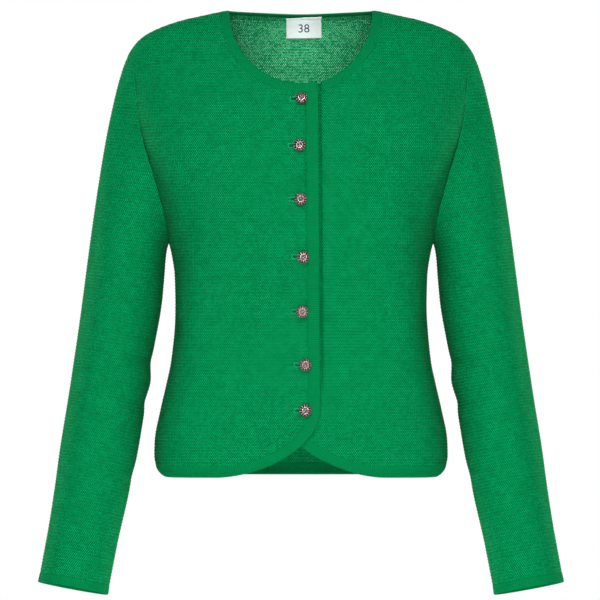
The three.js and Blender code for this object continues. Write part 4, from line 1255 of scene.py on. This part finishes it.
def hole_paths():
    """A path round each buttonhole on the right front's face."""
    paths = []
    angle = np.linspace(0, 2 * math.pi, 48, endpoint=False)
    for height, drift in BUTTONS:
        line = lap_at(height) - BUTTON_LINE + drift
        left, right = line - HOLE_INNER, line + HOLE_OUTER
        rim = HOLE_HALF_HEIGHT + HOLE_STITCH * 0.35
        core = np.clip((left + right) / 2 + (right - left) * np.cos(angle), left, right)
        x = core + rim * 0.8 * np.cos(angle)
        z = height + rim * np.clip(2.2 * np.sin(angle), -1, 1)
        turn = turn_at(x, z)
        out = form_normal(turn, z)
        points = form(turn, z, HOLE_PROUD)
        level = np.full(len(core), height)
        away = points - form(turn_at(core, level), level, HOLE_PROUD)
        away = unit(away - out * np.sum(away * out, axis=1, keepdims=True))
        paths.append((points, away, out, True))
    return paths


hole_tree = stitch_tree(thread("buttonhole_wool", (0.012, 0.32, 0.14), 0.7))
hole_sewing = sewn(
    "buttonhole_stitches", hole_paths(), hole_tree,
    Spacing=0.85 * MM, Length=HOLE_STITCH, Width=0.85 * MM, Height=0.8 * MM,
)
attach(hole_sewing, "root")

label_line_x = np.linspace(-0.47, 0.47, 30) * LABEL_WIDTH
label_line = label_places(label_line_x, np.full(30, 1.6 * MM))
label_out = -form_normal(*label_line)
label_path = form(*label_line, -CLOTH - LABEL_SEAT - LABEL_THICK - 0.1 * MM)
label_run = unit(np.gradient(label_path, axis=0))
label_tree = stitch_tree(thread("label_thread", (0.36, 0.37, 0.38)))
label_sewing = sewn(
    "label_stitches", [(label_path, label_run, label_out, False)], label_tree,
    Spacing=2.4 * MM, Length=1.7 * MM, Width=0.45 * MM, Height=0.4 * MM,
)
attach(label_sewing, "root")

# The buttons.
# Seven domed filigree buttons of antique silver plate with a coppery tone in the hollows: a bead in
# the middle, a ring of petals and a beaded rim. A shank behind each passes through the buttonhole.
BUTTON_RADIUS = 7 * MM
BUTTON_HEIGHT = 4.6 * MM
BUTTON_STANDOFF = 1.6 * MM
SHANK_RADIUS = 1.1 * MM

# The button's dome: distance from the middle and height, in shares of its radius and height.
DOME = ((0, 0.86), (0.2, 0.83), (0.4, 0.73), (0.6, 0.58), (0.78, 0.38), (0.92, 0.16))

# The button's rings of ornament: count, distance from the middle and height in shares of the
# button's radius and height, and half length, half width and half height in millimetres.
ORNAMENTS = [
    (1, 0.0, 0.93, 0.95, 0.95, 0.6),
    (8, 0.26, 0.88, 0.42, 0.42, 0.4),
    (12, 0.53, 0.7, 1.35, 0.62, 0.5),
    (12, 0.8, 0.42, 0.8, 0.72, 0.55),
    (28, 0.9, 0.2, 0.46, 0.6, 0.5),
]


def ornament_tree(material):
    """A ring of beads or petals round the button's middle, each lying along its radius."""
    sizes = {key: MM for key in ("Radius", "Height", "Slope", "Length", "Width", "Thickness")}
    tree, given = node_group("button_ring", {"Count": 8, **sizes})
    ring = node(tree, "GeometryNodeMeshCircle", Vertices=given["Count"], Radius=given["Radius"])
    place = node(tree, "GeometryNodeInputPosition")
    middle = turned_to(tree, place, {"axis": "X", "pivot_axis": "Z"})
    angles = node(tree, "ShaderNodeCombineXYZ", Y=given["Slope"])
    lean = node(tree, "FunctionNodeEulerToRotation", Euler=angles)
    local = {"rotation_space": "LOCAL"}
    tilt = node(tree, "FunctionNodeRotateRotation", local, Rotation=middle, Rotate_By=lean)
    bead = node(tree, "GeometryNodeMeshUVSphere", Segments=10, Rings=6, Radius=1.0)
    laid = repeated(tree, ring, bead, tilt, [given[key] for key in ("Length", "Width", "Thickness")])
    rise = node(tree, "ShaderNodeCombineXYZ", Z=given["Height"])
    lifted = node(tree, "GeometryNodeTransform", Geometry=laid, Translation=rise)
    both = node(tree, "GeometryNodeJoinGeometry", Geometry=lifted)
    feed(tree, both, Geometry=given["Geometry"])
    real = node(tree, "GeometryNodeRealizeInstances", Geometry=both)
    finish = node(tree, "GeometryNodeSetMaterial", Geometry=real, Material=material)
    node(tree, "NodeGroupOutput", Geometry=finish)
    return tree


def antique_silver():
    """Bright on the high points, coppery and dark in the hollows, and darker towards the rim as painted
    shade. The mesh says which is which.
    """
    material, tree, shader, place = new_material("antique_silver", 0.34)
    wear_and_rim_shade = node(tree, "ShaderNodeAttribute", {"attribute_name": "wear_and_rim_shade"}).outputs["Fac"]
    cloud = noise(tree, place, 900.0, 3.0)
    share = node(tree, "ShaderNodeClamp", Value=swayed(tree, wear_and_rim_shade, cloud, 0.5)).outputs[0]
    hollow = blended(tree, share, (0.03, 0.01, 0.01), (0.34, 0.2, 0.2))
    colour = blended(tree, maths(tree, "POWER", share, 3.0), hollow, (0.78, 0.68, 0.66))
    painted(tree, shader, colour, cloud, 0.25, 0.1 * MM)
    rough = node(tree, "ShaderNodeMapRange", Value=share, _1=0.0, _2=1.0, _3=0.62, _4=0.26)
    feed(tree, shader, Roughness=rough)
    shader.inputs["Metallic"].default_value = 1.0
    return material


silver = antique_silver()


def button_blank():
    """The domed disc and its shank, turned on one profile."""
    length = BUTTON_STANDOFF + UNDER_LAP_SINK - SEAM_GAP
    profile = [(x * BUTTON_RADIUS, z * BUTTON_HEIGHT) for x, z in (*DOME, (0.96, 0.06), (0.93, 0))]
    profile += [(SHANK_RADIUS, 0), (SHANK_RADIUS, -length), (0, -length)]
    steps = 42
    spin = np.linspace(0, 2 * math.pi, steps, endpoint=False)
    round_x, round_y = np.cos(spin), np.sin(spin)
    ring = [np.stack([x * round_x, x * round_y, np.full(steps, z)], -1) for x, z in profile[1:-1]]
    points = np.concatenate([[(0, 0, profile[0][1])], *ring, [(0, 0, profile[-1][1])]])
    last = len(points) - 1
    faces = [(0, 1 + i, 1 + (i + 1) % steps) for i in range(steps)]
    for k in range(len(ring) - 1):
        a, b = 1 + k * steps, 1 + (k + 1) * steps
        faces += [(a + i, b + i, b + (i + 1) % steps, a + (i + 1) % steps) for i in range(steps)]
    a = 1 + (len(ring) - 1) * steps
    faces += [(last, a + (i + 1) % steps, a + i) for i in range(steps)]
    mesh = bpy.data.meshes.new("button_blank")
    mesh.from_pydata(points.tolist(), [], faces)
    return placed("button_blank", mesh)


def whole_button():
    tree = ornament_tree(silver)
    made = button_blank()
    for k, (count, distance, height, length, width, thick) in enumerate(ORNAMENTS):
        sizes = {"Length": length * MM, "Width": width * MM, "Thickness": thick * MM}
        slope = math.atan2(BUTTON_HEIGHT * 1.1 * distance, BUTTON_RADIUS * 0.8)
        made = made_plain(
            f"button_{k}", made, tree, Count=max(3, count),
            Radius=distance * BUTTON_RADIUS, Height=height * BUTTON_HEIGHT, Slope=slope, **sizes,
        )
    mesh = made.data
    points = np.array([v.co for v in mesh.vertices])
    normals = np.array([v.normal for v in mesh.vertices])
    radius = np.hypot(points[:, 0], points[:, 1]) / BUTTON_RADIUS
    dome = BUTTON_HEIGHT * np.interp(radius, *zip(*DOME))
    proud = (points[:, 2] - dome) / (0.55 * MM)
    # Higher on raised parts, lower in the hollows and where the surface turns sideways from the button's
    # face.
    wear_and_rim_shade = np.clip(0.12 + 0.8 * proud, 0, 1) * np.clip(0.35 + normals[:, 2], 0, 1)
    # Painted shade: darker towards the rim of the dome.
    wear_and_rim_shade *= 1 - 0.6 * smooth(radius, 0.6, 1)
    mesh.attributes.new("wear_and_rim_shade", "FLOAT", "POINT").data.foreach_set("value", wear_and_rim_shade.astype(np.float32))
    mesh.shade_smooth()
    bpy.data.objects.remove(made)
    return mesh


button_mesh = whole_button()
for number, (height, drift) in enumerate(BUTTONS, 1):
    turn = turn_at(np.array(lap_at(height) - BUTTON_LINE + drift), np.array(height))
    out = Vector(form_normal(turn, np.array(height)))
    level = Vector((0, 0, 1)).cross(out).normalized()
    seat = Matrix((level, out.cross(level), out)).transposed().to_4x4()
    seat.translation = Vector(form(turn, np.array(height), BUTTON_STANDOFF + DIMPLE))
    turned = Matrix.Rotation(math.radians(23 * number), 4, "Z")
    mesh = button_mesh.copy()
    mesh.transform(seat @ turned)
    mesh.name = f"button_{number}_filigree"
    button = placed(mesh.name, mesh)
    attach(button, "root")
    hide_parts(f"button_{number}")

# The studio.
# A plain pale floor well below the hanging garment and white surroundings. Soft lights stand in
# front, low down, above, on both sides and behind, and a level camera looks at the middle.
FLOOR_LEVEL = -1.15
FLOOR_RADIUS = 1.3


def studio_floor():
    points, steps = [(0, 0, FLOOR_LEVEL)], 96
    for i in range(steps):
        angle = 2 * math.pi * i / steps
        points.append((FLOOR_RADIUS * math.cos(angle), FLOOR_RADIUS * math.sin(angle), FLOOR_LEVEL))
    mesh = bpy.data.meshes.new("studio_floor")
    mesh.from_pydata(points, [], [(0, 1 + i, 1 + (i + 1) % steps) for i in range(steps)])
    material, tree, shader, place = new_material("pale_floor", 0.9)
    colour = blended(tree, noise(tree, place, 3.0), (0.78, 0.78, 0.77), (0.83, 0.83, 0.82))
    feed(tree, shader, Base_Color=colour)
    mesh.materials.append(material)
    return placed("studio_floor", mesh)


studio_floor()

BACKDROP = 1.0  # brightness of the white surroundings as seen
ROOM = 0.1  # and as a light


def studio_world():
    """White surroundings that give only a little of the light."""
    world = bpy.data.worlds.new("studio")
    world.use_nodes = True
    tree = world.node_tree
    seen = node(tree, "ShaderNodeLightPath").outputs["Is Camera Ray"]
    strength = node(tree, "ShaderNodeMapRange", Value=seen, _1=0.0, _2=1.0, _3=ROOM, _4=BACKDROP)
    feed(tree, tree.nodes["Background"], Color=(1, 1, 1, 1), Strength=strength)
    return world


bpy.context.scene.world = studio_world()
bpy.context.scene.view_settings.view_transform = "Standard"


def soft_light(name, place, target, size, power):
    lamp = bpy.data.lights.new(name, "AREA")
    lamp.shape = "RECTANGLE"
    lamp.size, lamp.size_y = size
    lamp.energy = power
    light = placed(name, lamp)
    light.location = place
    light.rotation_euler = (Vector(target) - Vector(place)).to_track_quat("-Z", "Y").to_euler()
    light.visible_camera = False


MIDDLE = (0, 0, -0.3)
soft_light("front", (0.0, -5.2, -0.35), MIDDLE, (1.1, 3.4), 272)
soft_light("low", (0.0, -3.2, -1.6), (0, 0, -0.4), (1.6, 0.5), 32)
soft_light("above", (0.0, -3.0, 3.4), MIDDLE, (4.4, 1.2), 190)
for side in (-1, 1):
    soft_light("side", (side * 3.7, 2.9, 0.0), MIDDLE, (1.1, 2.4), 340)
soft_light("behind", (0.0, 4.6, 2.6), MIDDLE, (1.8, 1.8), 150)

CAMERA_PLACE = (-0.0011, -5.0, -0.317)
FRAME_WIDTH = 0.660  # metres seen across the picture at the garment's middle
SENSOR = 36.0
camera_data = bpy.data.cameras.new("camera")
camera_data.sensor_width = SENSOR
camera_data.lens = SENSOR * -CAMERA_PLACE[1] / FRAME_WIDTH
camera = placed("camera", camera_data)
camera.location = CAMERA_PLACE
camera.rotation_euler = (math.radians(90), 0, 0)
bpy.context.scene.camera = camera
